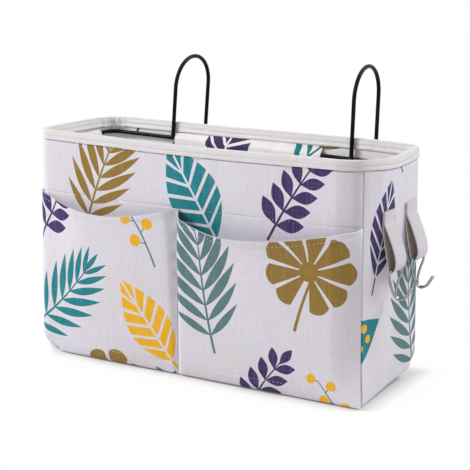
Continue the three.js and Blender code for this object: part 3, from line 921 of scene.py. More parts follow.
def settled(points):
    """Points of the straight box, moved as its cloth and boards settle."""
    x, y, z = points[..., 0], points[..., 1], points[..., 2]
    below_rim = np.clip(1 - z / RIM_HIGH.z, 0, 1)
    low = 1 - np.sqrt(1 - np.clip(1 - z / FOOT_REACH, 0, 1) ** 2)
    new_x, new_y = reshaped(x, y, SHARP_FOOT, SHARP_RADIUS, below_rim**SHARP_FADE)
    for corner, (radius, tuck) in ROUND_FEET.items():
        new_x, new_y = reshaped(new_x, new_y, corner, radius, low, tuck)
    at_rim = smooth_step(z, ROUND_RIM_FROM, ROUND_RIM_TO)
    new_x, new_y = reshaped(new_x, new_y, ROUND_RIM, ROUND_RIM_RADIUS, at_rim)
    for (side_x, side_y), (spread, rim_draw) in SPREADS.items():
        at_corner = np.clip(side_x * x / HALF_WIDTH, 0, 1) ** SPREAD_FADE
        at_corner = at_corner * np.clip(side_y * y / HALF_DEPTH, 0, 1)
        new_x = new_x + side_x * (spread * below_rim - rim_draw * (1 - below_rim)) * at_corner
    lift = np.clip((x - HALF_WIDTH + LIFT_REACH) / LIFT_REACH, 0, 1) ** LIFT_FADE
    lift = LIFTED_CORNER * lift * np.clip((y + HALF_DEPTH) / (2 * HALF_DEPTH), 0, 1)
    new_z = z + lift * (1 - smooth_step(z, 0, LIFT_HEIGHT))
    pressed = RIM_PRESS_MIDDLE - RIM_PRESS_TO_FRONT * np.clip(y / HALF_DEPTH, -1, 1)
    new_z = new_z - RIM_PRESS * pressed * smooth_step(z, RIM_LOW.z, RIM_HIGH.z)
    high = smooth_step(z, RIM_RISE_FROM, RIM_HIGH.z)
    for side_x, side_y, rise, reach in RIM_RISES:
        away = np.hypot(x - side_x * HALF_WIDTH, y - side_y * HALF_DEPTH)
        new_z = new_z + rise * high * hump(away, 0, reach)
    drawn = np.clip((x - HALF_WIDTH + DRAWN_LENGTH) / DRAWN_LENGTH, 0, 1) ** DRAWN_FADE
    drawn = DRAWN_IN * drawn * (1 - smooth_step(y, -HALF_DEPTH, DRAWN_BACK_TO))
    drawn = drawn * smooth_step(z, 0, DRAWN_FOOT)
    return points_of(new_x + DRAWN_WAY[0] * drawn, new_y + DRAWN_WAY[1] * drawn, new_z)


# The walls: outer cloth, boards and lining. The pockets' back edge is sewn across the front wall.

WALL_TURNS = {"front": 0, "right": 1, "back": 2, "left": 3}
OUTER_SHIFTS = {
    "front": (141, 170),
    "right": (160, 95),
    "back": (150, 40),
    "left": (20, 30),
    "base": (40, 160),
}
LINING_SHIFTS = {
    "front": (10, 120),
    "right": (300, 10),
    "back": (340, 112),
    "left": (78, 112),
    "base": (200, 20),
}
SEAM = 0.15 * MM
SEAM_DEPTH = 1.4 * MM
SEAM_START = -0.6 * MM
SEAM_WIDTH = 1.5 * MM
SEAM_ZONE = 2 * MM
BOARD_END = 2.6 * MM
RIM_GROOVE = 1.0 * MM
RIM_GROOVE_HEIGHT = RIM_LOW.z - 0.2 * MM
RIM_GROOVE_WIDTH = 0.7 * MM
WALL_SEAM_HEIGHT = POCKET_TOP + 0.5 * MM
WALL_SEAM_DEPTH = 0.4 * MM
WALL_SEAM_WIDTH = 0.7 * MM
WALL_SEAM_ZONE = 2.5 * MM
WALL_SEAM_INSET = 8 * MM
FOOT_CURL = 3.2 * MM
FOOT_CURL_HEIGHT = 4.5 * MM
FOOT_ROWS = graded(0, (5 * MM, 0.5 * MM), (36 * MM, 2.5 * MM))
FREE_REACH = 30 * MM
OUTER_LOOSENESS = (0.5 * MM, 90 * MM, 0.6)
OUTER_SEED = 11
OUTER_HELD_FOOT = 4 * MM
OUTER_HELD_RIM = 25 * MM
LINING_LOOSENESS = (0.7 * MM, 60 * MM, 0.7)
LINING_SEED = 31
LINING_HELD_FOOT = 6 * MM
LINING_HELD_TOP = 20 * MM
LINING_HELD_ABOVE = RING_Z - 16 * MM


def quarter_turned(points, turns):
    """Points turned about the box's upright middle line by quarter turns."""
    for _ in range(turns):
        points = points_of(-points[..., 1], points[..., 0], points[..., 2])
    return points


def wall_point(a, b, half_length, half_depth, radius, out, turns):
    """A point on a wall: a along it, b up, out from its face. It ends half way round each corner."""
    flat = half_length - radius
    turn = np.clip(np.abs(a) - flat, 0, None) / radius
    x = np.sign(a) * (np.minimum(np.abs(a), flat) + (radius + out) * np.sin(turn))
    y = -(half_depth - radius + (radius + out) * np.cos(turn))
    return quarter_turned(points_of(x, y, b), turns)


def along_across(side, x, y):
    """Half a length along a wall and half the box across it, from half the box in x and y."""
    return (x, y) if side in ("front", "back") else (y, x)


def foot_curl(b):
    """How far the outer cloth turns in under the box at a height b."""
    left = np.clip(1 - b / FOOT_CURL_HEIGHT, 0, 1)
    return FOOT_CURL * (1 - np.sqrt(1 - left**2))


def outer_wall_place(side):
    """The outer face of a wall: soft, tucked under at its foot and drawn in at its corner seams."""
    half_length, half_depth = along_across(side, HALF_WIDTH, HALF_DEPTH)
    turns = WALL_TURNS[side]
    end = half_length - CORNER_RADIUS * (1 - math.pi / 4)

    def place(a, b):
        from_seam = end - np.abs(a)
        loose = smooth_step(b, OUTER_HELD_FOOT, FREE_REACH) * smooth_step(RIM_LOW.z - b, 0, OUTER_HELD_RIM)
        loose = loose * smooth_step(from_seam, SEAM_ZONE, FREE_REACH)
        out = standing_off(a, b, OUTER_LOOSENESS, OUTER_SEED + turns) * loose
        out = out - foot_curl(b)
        out = out - SEAM_DEPTH * (1 - smooth_step(from_seam, SEAM_START, SEAM_WIDTH))
        out = out - RIM_GROOVE * hump(b, RIM_GROOVE_HEIGHT, RIM_GROOVE_WIDTH)
        if side == "front":
            out = out - WALL_SEAM_DEPTH * hump(b, WALL_SEAM_HEIGHT, WALL_SEAM_WIDTH)
        return settled(wall_point(a, b, half_length, half_depth, CORNER_RADIUS, out, turns))

    return place


def board_place(side):
    """The outer face of the stiff board in a wall."""
    sizes = along_across(side, HALF_WIDTH, HALF_DEPTH)
    turns = WALL_TURNS[side]
    return lambda a, b: settled(wall_point(a, b, *sizes, CORNER_RADIUS, -BOARD_INSET, turns))


def lining_wall_place(side):
    """The inner face of a wall's lining, a little loose."""
    half_length, half_depth = along_across(side, LINING_X, LINING_Y)
    turns = WALL_TURNS[side]

    def place(a, b):
        loose = smooth_step(b, LINING_HELD_FOOT, FREE_REACH)
        loose = loose * smooth_step(LINING_HELD_ABOVE - b, 0, LINING_HELD_TOP)
        loose = loose * smooth_step(half_length - np.abs(a), SEAM_ZONE, FREE_REACH)
        out = -standing_off(a, b, LINING_LOOSENESS, LINING_SEED + turns) * loose
        return settled(wall_point(-a, b, half_length, half_depth, INNER_RADIUS, out, turns))

    return place


def wall_columns(half_length, radius, seam):
    """Places along a wall, close together round its corners and closest at its seams."""
    flat = half_length - radius
    end = flat + radius * math.pi / 4 - seam
    corner = graded(flat, (end - SEAM_ZONE, 0.8 * MM), (end, 0.3 * MM))
    near = steps(flat - FREE_REACH, flat, 3 * MM)
    middle = steps(FREE_REACH - flat, flat - FREE_REACH, 8 * MM)
    return joined(-corner[::-1], -near[::-1], middle, near, corner)


def wall_shares(low, high):
    """Shares of a wall's height, close together at its foot, at the pockets' seam and at the rim."""
    foot = FOOT_ROWS[FOOT_ROWS > low + 1e-6]
    stretches = [
        (WALL_SEAM_HEIGHT - WALL_SEAM_ZONE, 8 * MM),
        (WALL_SEAM_HEIGHT + WALL_SEAM_ZONE, 0.5 * MM),
        (RIM_LOW.z - 4 * MM, 7 * MM),
        (RIM_LOW.z + 1.5 * MM, 0.35 * MM),
        (high, 1.5 * MM),
    ]
    rows = joined(foot, graded(foot[-1], *stretches))
    return np.concatenate([[0], (rows - low) / (high - low)])


def wall_sheet(name, half_length, radius, seam, low, high, *sheet):
    """A sheet over a wall from a foot to a top. sheet is its place, thickness, print's shift and looks."""
    columns = wall_columns(half_length, radius, seam)
    return cloth_sheet(name, columns, upright_span(low, high), wall_shares(low, high), *sheet)


def make_outer_wall(side):
    """The outer cloth of one wall."""
    half_length = along_across(side, HALF_WIDTH, HALF_DEPTH)[0]
    sheet = (outer_wall_place(side), OUTER_CLOTH, OUTER_SHIFTS[side])
    outer = wall_sheet("outer_cloth_" + side, half_length, CORNER_RADIUS, SEAM, 0, WALL_TOP, *sheet)
    finish_cloth(outer, "outer_" + side, "outer_cloth")


def make_board(side):
    """The stiff board in one wall."""
    node = "board_" + side
    low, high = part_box(node)
    half_length = along_across(side, HALF_WIDTH, HALF_DEPTH)[0]
    sheet = (board_place(side), WALL_BOARD, None, [BOARD])
    board = wall_sheet("stiff_" + node, half_length, CORNER_RADIUS, BOARD_END, low.z, high.z, *sheet)
    put(board[0], "board", "caddy", node)


def make_lining_wall(side):
    """The lining of one wall."""
    half_length = along_across(side, LINING_X, LINING_Y)[0]
    sheet = (lining_wall_place(side), LINING_CLOTH, LINING_SHIFTS[side], LINED_PAINTED_LIGHT)
    name = "lining_cloth_" + side
    lining = wall_sheet(name, half_length, INNER_RADIUS, SEAM, LINING_FOOT, WALL_TOP, *sheet)
    finish_cloth(lining, "lining_" + side, "lining_cloth")


def make_wall_stitches():
    """A row of stitches across the front wall behind the pocket mouths."""
    a = steps(-HALF_WIDTH + WALL_SEAM_INSET, HALF_WIDTH - WALL_SEAM_INSET, 3 * MM)
    line = points_of(a, WALL_SEAM_HEIGHT)
    stitches("front_wall_stitches", *surface(outer_wall_place("front"), line), WALL_STITCH)


# The base.

BASE_EDGE = graded(0, (6 * MM, 1 * MM), (36 * MM, 3 * MM))
BASE_SHARES = joined(np.linspace(0, 0.3, 10), np.linspace(0.3, 0.7, 6), np.linspace(0.7, 1, 10))
BASE_TURN_UP = 0.25 * MM
BASE_TURN_UP_WIDTH = 5 * MM
BASE_INSET = FOOT_CURL - 0.6 * MM
BASE_LOOSENESS = (0.4 * MM, 50 * MM, 0.8)
BASE_SEED = 5
BASE_HELD_EDGE = 20 * MM


def base_sheet(name, node, lift, way, cloth, shift=None, looks=PRINTED, inset=0.0):
    """A flat piece of the base that faces up or down, way 1 or -1.

    It is raised by lift(a, b, distance to its edge), and drawn in all round by an inset."""
    low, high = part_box(node)
    radius = CORNER_RADIUS - (HALF_WIDTH - high.x)
    level = high.z if way > 0 else low.z

    def span(x):
        past = np.clip(np.abs(x) - (high.x - radius), 0, radius)
        y = high.y - radius + np.sqrt(radius**2 - past**2)
        return -y, y

    def place(a, b):
        edge = np.minimum(high.x - np.abs(a), high.y - np.abs(b))
        x = a * (1 - inset / high.x)
        y = way * b * (1 - inset / high.y)
        return settled(points_of(x, y, level + lift(a, b, edge)))

    middle = steps(-high.x + BASE_EDGE[-1], high.x - BASE_EDGE[-1], 9 * MM)
    columns = joined(-high.x + BASE_EDGE, middle, high.x - BASE_EDGE[::-1])
    return cloth_sheet(name, columns, span, BASE_SHARES, place, cloth, shift, looks)


def make_outer_base():
    """The cloth under the box, turned up a little at its edge."""
    def turned_up(a, b, edge):
        return BASE_TURN_UP * (1 - smooth_step(edge, 0, BASE_TURN_UP_WIDTH))

    shift = OUTER_SHIFTS["base"]
    sheet = base_sheet("outer_cloth_base", "outer_base", turned_up, -1, OUTER_CLOTH, shift, inset=BASE_INSET)
    finish_cloth(sheet, "outer_base", "outer_cloth")


def make_board_base():
    """The stiff board in the base."""
    def level(a, b, edge):
        return 0 * a

    low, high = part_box("board_base")
    sheet = base_sheet("stiff_board_base", "board_base", level, 1, high.z - low.z, looks=[BOARD])
    put(sheet[0], "board", "caddy", "board_base")


def make_lining_base():
    """The lining on the base's board, a little loose."""
    def loose(a, b, edge):
        return standing_off(a, b, BASE_LOOSENESS, BASE_SEED) * smooth_step(edge, 0, BASE_HELD_EDGE)

    shift = LINING_SHIFTS["base"]
    sheet = base_sheet("lining_cloth_base", "lining_base", loose, 1, LINING_CLOTH, shift, LINED_PAINTED_LIGHT)
    finish_cloth(sheet, "lining_base", "lining_cloth")


# The rim binding. Heights in its section are shares of the binding's height.

TAPE_OUT = 0.7 * MM
TAPE_DEPTH = 5.6 * MM
TAPE_CREASE = 0.39
TAPE_CREASE_WIDTH = 0.1
TAPE_LOOSE_BELOW = 0.4
TAPE_INSIDE_BELOW = 0.9
TAPE_INNER_WALL = 1.2 * MM
TAPE_GROOVE_BEVEL = 0.6 * MM
TAPE_STITCH_OUT = TAPE_OUT - 0.5 * MM
TAPE_STITCH_IN = -TAPE_DEPTH + 0.2 * MM
TAPE_PULL = 0.12 * MM
TAPE_WAVE = 0.22 * MM
TAPE_WAVE_LENGTH = 26 * MM
TAPE_WAVE_SEED = 21
TAPE_RISE = 0.25 * MM
TAPE_RISE_LENGTH = 70 * MM
TAPE_RISE_SEED = 22
PUCKER_CORNER = (-HALF_WIDTH, HALF_DEPTH)
PUCKER_REACH = 20 * MM
PUCKER_HEIGHT = 0.55 * MM
PUCKER_LENGTH = 8.5 * MM


def plan_path(out, step):
    """Points and outward normals round the box in plan, at a distance out from its walls."""
    flat_x = HALF_WIDTH - CORNER_RADIUS
    flat_y = HALF_DEPTH - CORNER_RADIUS
    corners = [(flat_x, -flat_y, -90), (flat_x, flat_y, 0), (-flat_x, flat_y, 90), (-flat_x, -flat_y, 180)]
    points = []
    normals = []
    for k, (x, y, start) in enumerate(corners):
        turn = circle_points(math.radians(start) + np.linspace(0, math.pi / 2, 9))
        arc = np.array([x, y]) + turn * (CORNER_RADIUS + out)
        end = np.array(corners[(k + 1) % 4][:2]) + turn[-1] * (CORNER_RADIUS + out)
        gap = np.linalg.norm(end - arc[-1])
        share = np.linspace(0, 1, max(2, round(gap / step) + 1))[1:-1, None]
        points += [arc, arc[-1] + (end - arc[-1]) * share]
        normals += [turn, np.repeat(turn[-1:], len(share), 0)]
    return np.concatenate(points), np.concatenate(normals)


def binding_section():
    """The binding in section: outward and up, round its outside and then back along its groove."""
    shell = [
        (0.3 * MM, 0.01),
        (TAPE_OUT, 0.0),
        (TAPE_OUT + 0.4 * MM, 0.04),
        (TAPE_OUT + 0.45 * MM, 0.15),
        (TAPE_OUT + 0.2 * MM, TAPE_CREASE - 0.1),
        (TAPE_STITCH_OUT, TAPE_CREASE),
        (TAPE_OUT + 0.05 * MM, TAPE_CREASE + 0.1),
        (TAPE_OUT + 0.25 * MM, 0.66),
        (TAPE_OUT, 0.86),
        (TAPE_OUT - 0.9 * MM, 1.0),
        (-0.5 * TAPE_DEPTH + 0.4 * MM, 1.03),
        (-TAPE_DEPTH + 0.9 * MM, 1.0),
        (-TAPE_DEPTH, 0.86),
        (-TAPE_DEPTH - 0.2 * MM, 0.6),
        (TAPE_STITCH_IN, TAPE_CREASE),
        (-TAPE_DEPTH - 0.2 * MM, 0.2),
        (-TAPE_DEPTH - 0.1 * MM, 0.04),
        (-TAPE_DEPTH + 0.2 * MM, 0.0),
        (-TAPE_DEPTH + 1.0 * MM, 0.0),
    ]
    shell = np.array(shell) * [1, RIM_HEIGHT] + [0, RIM_LOW.z]
    inner = -(TAPE_DEPTH - TAPE_INNER_WALL)
    foot = RIM_LOW.z + LAYER_GAP
    top = WALL_TOP + LAYER_GAP
    groove = [
        (inner, foot),
        (inner, top - TAPE_GROOVE_BEVEL),
        (inner + TAPE_GROOVE_BEVEL, top),
        (-LAYER_GAP, top),
        (LAYER_GAP, top - TAPE_GROOVE_BEVEL),
        (LAYER_GAP, foot),
    ]
    return spline(shell, 4), np.array(groove)


def make_binding():
    """The tape folded over the top edge, drawn in by its stitches, wavy, and puckered at one inner corner."""
    plan, normals = plan_path(0.0, 1.3 * MM)
    along = distances(plan)
    shell, groove = binding_section()
    height = (shell[:, 1] - RIM_LOW.z) / RIM_HEIGHT
    way = np.where(shell[:, 0] > -0.5 * TAPE_DEPTH, 1.0, -1.0) * smooth_step(np.abs(height - 1.0), 0.02, 0.2)
    inside = way < 0
    crease = hump(height, TAPE_CREASE, TAPE_CREASE_WIDTH)
    lower = 1 - smooth_step(height, 0.0, TAPE_LOOSE_BELOW)
    pull = TAPE_PULL * np.cos(2 * np.pi * along / (RIM_STITCH[0] + RIM_STITCH[1]))
    wave = TAPE_WAVE * ripple(along, 0 * along, TAPE_WAVE_LENGTH, TAPE_WAVE_SEED)
    rise = TAPE_RISE * ripple(along, 0 * along, TAPE_RISE_LENGTH, TAPE_RISE_SEED)
    near_corner = hump(np.linalg.norm(plan - PUCKER_CORNER, axis=1), 0, PUCKER_REACH)
    pucker = PUCKER_HEIGHT * near_corner * np.sin(2 * np.pi * along / PUCKER_LENGTH)
    puff = pull[:, None] * crease + wave[:, None] * lower + pucker[:, None] * inside
    up = rise[:, None] + wave[:, None] * lower
    shells = points_of(shell[:, 0] + puff * way, shell[:, 1] + up)
    sections = np.concatenate([shells, np.repeat(groove[None], len(plan), 0)], 1)
    path = points_of(*plan.T, 0.0)
    sides = points_of(*normals.T, 0.0)
    ups = np.repeat([[0.0, 0.0, 1.0]], len(plan), 0)
    # Painted light: the tape's inside strip, up to TAPE_INSIDE_BELOW of its height, takes a lighter copy of
    # the tape's cloth.
    looks = [TAPE, INNER_TAPE_PAINTED_LIGHT]
    inner = np.concatenate([inside & (height < TAPE_INSIDE_BELOW), np.zeros(len(groove), bool)]).astype(int)
    tape = sweep("rim_tape", path, sides, ups, sections, looks, closed=True, shape=settled, ring_looks=inner)
    put(tape, "binding_cloth", "caddy", "rim_binding")
    cut = (line_length(path), line_length(shell))
    sew_binding("rim_stitches_outside", TAPE_STITCH_OUT, 1)
    sew_binding("rim_stitches_inside", TAPE_STITCH_IN, -1)


def sew_binding(name, out, way):
    """A row of stitches in the binding's crease, outside or inside."""
    line, facing = (np.concatenate([row, row[:1]]) for row in plan_path(out, 2.0 * MM))
    path = settled(points_of(*line.T, RIM_LOW.z + TAPE_CREASE * RIM_HEIGHT))
    stitches(name, path, way * points_of(*facing.T, 0.0), RIM_STITCH)


# The front pockets.

POCKET_MOUTH_BELLY = 11 * MM
POCKET_FOOT_BELLY = 5 * MM
POCKET_FOOT_ROUND = 12 * MM
POCKET_FOOT_START = 0.02 * MM
POCKET_FOOT_SEAM = POCKET_FOOT + 11 * MM
POCKET_FOOT_SEAM_DEPTH = 0.45 * MM
POCKET_FOOT_SEAM_WIDTH = 1.0 * MM
POCKET_HEM = 6 * MM
POCKET_HEM_EDGE = (POCKET_HEM - 1.2 * MM, POCKET_HEM + 0.4 * MM)
POCKET_HEM_FOLD = 0.55 * MM
POCKET_HEM_SEAM = POCKET_HEM - 1.4 * MM
POCKET_HEM_SEAM_DEPTH = 0.35 * MM
POCKET_HEM_SEAM_WIDTH = 0.7 * MM
POCKET_MOUTH_REACH = 30 * MM
POCKET_LEAN_HEIGHT = 24 * MM
POCKET_LOOSENESS = (1.0 * MM, 70 * MM, 0.0)
POCKET_WAVE_SLANT = 0.55
POCKET_SEW_INSET = 5 * MM
POCKET_CORNER_SEAM = 1.6 * MM
POCKET_END_ROUND = 6 * MM
POCKET_END_GAP = 0.5 * MM
POCKET_DIVIDER_ROWS = graded(0, (6 * MM, 0.6 * MM), (20 * MM, 1.4 * MM))
POCKET_CORNER_ROWS = graded(0, (6 * MM, 0.6 * MM), (24 * MM, 1.5 * MM))
POCKET_FOOT_SHARE = 0.11
POCKET_HEM_SHARE = 0.9
POCKET_SHARES = joined(
    POCKET_FOOT_SHARE * np.linspace(0, 1, 12) ** 1.5,
    np.linspace(POCKET_FOOT_SHARE, POCKET_HEM_SHARE, 34),
    np.linspace(POCKET_HEM_SHARE, 1, 18),
)


def leave_seam(distance, length):
    """Climbs from 0 to 1 over a length, steep first, like cloth that leaves a seam."""
    left = 1 - np.clip(distance / length, 0, 1)
    return 1 - left * left


def folded(share):
    """A straight rise from 0 to 1 with a small round at its top, as pressed cloth has at a fold."""
    return share / (1 + share**6) ** (1 / 6)


def along_front(x):
    """How far along the front wall's face a place x lies, measured round its corners."""
    flat = HALF_WIDTH - CORNER_RADIUS
    past = np.clip(abs(x) - flat, 0, CORNER_RADIUS)
    return math.copysign(min(abs(x), flat) + CORNER_RADIUS * math.asin(past / CORNER_RADIUS), x)


class Pocket:
    """One front pocket: where its edges are, how its mouth sags and how its cloth stands out."""

    def __init__(self, node, corner_side, seed, shift):
        low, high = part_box(node)
        self.node = node
        self.seed = seed
        self.shift = shift
        self.corner_side = corner_side
        self.width = along_front(high.x) - along_front(low.x)
        self.divider = along_front(low.x if corner_side > 0 else high.x)
        self.corner = self.divider + corner_side * (self.width + self.wrap)
        self.low_a, self.high_a = sorted((self.divider, self.corner))

    def mouth(self, a):
        """How high the mouth is at a place along the wall."""
        share = np.clip(np.abs(self.divider - a) / self.width, 0, 1)
        rise = share / self.low_point
        fall = (1 - share) / (1 - self.low_point)
        to_low = np.where(share < self.low_point, rise, fall)
        return POCKET_TOP - self.sag * np.sin(math.pi / 2 * to_low)

    def place(self, a, b):
        """The pocket's face: sewn at both ends and its foot, and standing out between them."""
        from_divider = np.abs(self.divider - a)
        from_corner = np.abs(self.corner - a)
        from_mouth = self.mouth(a) - b
        at_mouth = 1 - smooth_step(from_mouth, 0, POCKET_MOUTH_REACH)
        sides = self.leave_divider(from_divider, b, at_mouth)
        sides = sides * self.leave_corner(from_corner, from_mouth, at_mouth)
        foot = np.sqrt(leave_seam(b - POCKET_FOOT + POCKET_FOOT_START, POCKET_FOOT_ROUND))
        fullness = POCKET_FOOT_BELLY + (POCKET_MOUTH_BELLY - POCKET_FOOT_BELLY) * (b / POCKET_TOP)
        fullness = fullness + self.mouth_lean * np.clip(1 - from_mouth / POCKET_LEAN_HEIGHT, 0, 1) ** 2
        wave = standing_off(a, POCKET_WAVE_SLANT * b, POCKET_LOOSENESS, self.seed)
        loose = wave * sides * foot
        in_hem = 1 - smooth_step(from_mouth, *POCKET_HEM_EDGE)
        hem = self.hem_fold(from_corner) * in_hem
        hem = hem - POCKET_HEM_SEAM_DEPTH * hump(from_mouth, POCKET_HEM_SEAM, POCKET_HEM_SEAM_WIDTH)
        hem = hem - POCKET_FOOT_SEAM_DEPTH * hump(b, POCKET_FOOT_SEAM, POCKET_FOOT_SEAM_WIDTH)
        out = LAYER_GAP + POCKET_CLOTH + fullness * sides * foot + loose + hem * np.minimum(1, 3 * sides)
        return settled(wall_point(a, b, HALF_WIDTH, HALF_DEPTH, CORNER_RADIUS, out, 0))

    def make(self):
        """Makes the pocket's cloth and its stitches."""
        rows = [POCKET_DIVIDER_ROWS, POCKET_CORNER_ROWS]
        at_low, at_high = rows[:: self.corner_side]
        middle = steps(self.low_a + at_low[-1], self.high_a - at_high[-1], 4 * MM)
        columns = joined(self.low_a + at_low, middle, self.high_a - at_high[::-1])

        def span(a):
            return 0 * a + POCKET_FOOT, self.mouth(a)

        name = self.node + "_cloth"
        sheet = cloth_sheet(name, columns, span, POCKET_SHARES, self.place, POCKET_CLOTH, self.shift)
        finish_cloth(sheet, self.node, "outer_cloth")
        self.sew()

    def sew(self):
        """Rows of stitches at the hem, over the foot and at the corner."""
        a = steps(self.low_a + POCKET_SEW_INSET, self.high_a - POCKET_SEW_INSET, 2 * MM)
        b = steps(POCKET_FOOT + 2 * MM, POCKET_TOP - 3 * MM, 2 * MM)
        rows = {
            "hem": points_of(a, self.mouth(a) - POCKET_HEM_SEAM),
            "foot": points_of(a, POCKET_FOOT_SEAM),
            "corner": points_of(self.corner - POCKET_CORNER_SEAM * self.corner_side, b),
        }
        for part, row in rows.items():
            stitches(self.node + "_" + part + "_stitches", *surface(self.place, row), POCKET_STITCH)


class LeftPocket(Pocket):
    """The left pocket, drawn tight round the front left corner."""

    sag = 12 * MM
    low_point = 0.5
    wrap = 8 * MM
    mouth_lean = 0.8 * MM
    fold_share = 0.47
    fold_width = 3.0 * MM
    fold_width_top = 5.0 * MM
    fold_width_mouth = 1.0 * MM
    slow_reach = 60 * MM
    corner_reach = 55 * MM
    corner_open = 0.06

    def leave_divider(self, from_divider, b, at_mouth):
        width = self.fold_width + self.fold_width_top * b / POCKET_TOP + self.fold_width_mouth * at_mouth
        slow = leave_seam(from_divider, self.slow_reach)
        return self.fold_share * folded(from_divider / width) + (1 - self.fold_share) * slow

    def hem_fold(self, from_corner):
        return POCKET_HEM_FOLD + 0 * from_corner

    def leave_corner(self, from_corner, from_mouth, at_mouth):
        tight = smooth_step(from_corner, 0.8 * self.wrap, self.wrap + self.corner_reach)
        return np.maximum(tight, self.corner_open * at_mouth * leave_seam(from_corner, POCKET_END_ROUND))


class RightPocket(Pocket):
    """The right pocket, folded sharply at the divider, with its mouth standing off at the right end."""

    sag = 16.5 * MM
    low_point = 0.33
    wrap = 0
    mouth_lean = 5 * MM
    slow_reach = 110 * MM
    corner_open = 0.5
    open_height = 34 * MM
    fold_width = 5 * MM
    fold_width_mouth = 4.5 * MM
    end_fold = 1.7 * MM
    end_fold_place = 12 * MM
    end_fold_width = 14 * MM

    def leave_divider(self, from_divider, b, at_mouth):
        return folded(from_divider / (self.fold_width + self.fold_width_mouth * at_mouth))

    def hem_fold(self, from_corner):
        at_end = hump(from_corner, self.end_fold_place, self.end_fold_width)
        return POCKET_HEM_FOLD + self.end_fold * at_end

    def leave_corner(self, from_corner, from_mouth, at_mouth):
        open_end = self.corner_open * (1 - smooth_step(from_mouth, 0, self.open_height))
        open_end = open_end * leave_seam(from_corner + POCKET_END_GAP, POCKET_END_ROUND)
        return np.maximum(leave_seam(from_corner, self.slow_reach), open_end)


def make_pockets():
    """Both front pockets, and the stitches of the seam between them."""
    left = LeftPocket("pocket_left", -1, 41, (0, 196))
    right = RightPocket("pocket_right", 1, 43, (176, 60))
    left.make()
    right.make()
    b = steps(POCKET_FOOT + 2 * MM, POCKET_TOP - 2 * MM, 2 * MM)
    row = points_of((left.divider + right.divider) / 2, b)
    stitches("pocket_divider_stitches", *surface(outer_wall_place("front"), row), DIVIDER_STITCH)


# The wire: frame, bed hooks and key hooks.

PAINT_COAT = 0.2 * MM
COATED_RADIUS = WIRE_RADIUS + PAINT_COAT
RING_RADIUS = 12 * MM
RING_BUTT_GAP = 0.5 * MM
RING_TILT = 0.0215
RING_LEVEL_X = -15 * MM

# Where each bed hook stands, and how far it leans and turns, in degrees.
BED_HOOKS = {"bed_hook_left": (-83.6 * MM, 4.4, 2.1), "bed_hook_right": (97.7 * MM, 1.8, -1.7)}
WELD_HEIGHTS = np.array([0.6, 1.4, 2.0, 2.8, 4.5]) * MM
WELD_RADII = np.array([1.5, 1.38, 1.22, 1.08, 1.0])

KEY_RADIUS = 1.0 * MM
KEY_PAIR = 1.25 * MM
KEY_EYE_CLEAR = 1.2 * MM
KEY_EYE_HALF = STRAP_WIDTH / 2 + KEY_EYE_CLEAR + KEY_RADIUS
KEY_EYE_DROP = 5 * MM
KEY_BEND_DROP = 26 * MM
KEY_BEND_OUT = 4 * MM
KEY_TIP_OUT = 14 * MM
KEY_TIP_DROP = 15.5 * MM


def ring_height(x):
    """How high the frame's wire lies at a place x. The frame hangs a little lower at its right end."""
    return RING_Z - RING_TILT * (x - RING_LEVEL_X)


def make_frame_ring():
    """The wire frame in the rim, butted inside the front sleeve."""
    x = RING_X - RING_RADIUS
    y = RING_Y - RING_RADIUS
    plan = [[[RING_BUTT_GAP / 2, -RING_Y]]]
    for start, corner in {-90: (x, -y), 0: (x, y), 90: (-x, y), 180: (-x, -y)}.items():
        plan.append(circle_points(np.radians(np.linspace(start, start + 90, 19)), RING_RADIUS, *corner))
    plan = np.concatenate(plan + [[[-RING_BUTT_GAP / 2, -RING_Y]]])
    path = points_of(*plan.T, ring_height(plan[:, 0]))
    put(tube("rim_wire", path, COATED_RADIUS, [BLACK_PAINT]), "black_wire", "caddy", "frame_ring")


def make_bed_hook(node, x, lean_degrees, turn_degrees):
    """A bed hook: welded to the back bar, round over the rail and down behind it."""
    low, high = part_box(node)
    lean = math.radians(lean_degrees)
    turn_out = math.tan(math.radians(turn_degrees))
    span = high.y - low.y - 2 * WIRE_RADIUS
    radius = span / 2
    bend = (high.z - RING_Z) / math.cos(lean) - WIRE_RADIUS - radius
    tip = (low.z - RING_Z) / math.cos(lean)
    weld = ring_height(x) - RING_Z + WELD_HEIGHTS
    stalk = np.linspace(weld[-1], bend, 7)[1:-1]
    turn = np.radians(np.linspace(0, 180, 37))
    leg = np.linspace(bend, tip, 7)[1:]
    back = np.concatenate([0 * weld, 0 * stalk, radius - radius * np.cos(turn), 0 * leg + span])
    up = np.concatenate([weld, stalk, bend + radius * np.sin(turn), leg])
    path_x = x + back * turn_out + up * math.sin(lean)
    path = points_of(path_x, RING_Y + back, RING_Z + up * math.cos(lean))
    radii = COATED_RADIUS * np.concatenate([WELD_RADII, np.ones(len(path) - len(WELD_RADII))])
    put(tube(node + "_wire", path, radii, [BLACK_PAINT]), "black_wire", "caddy", node)


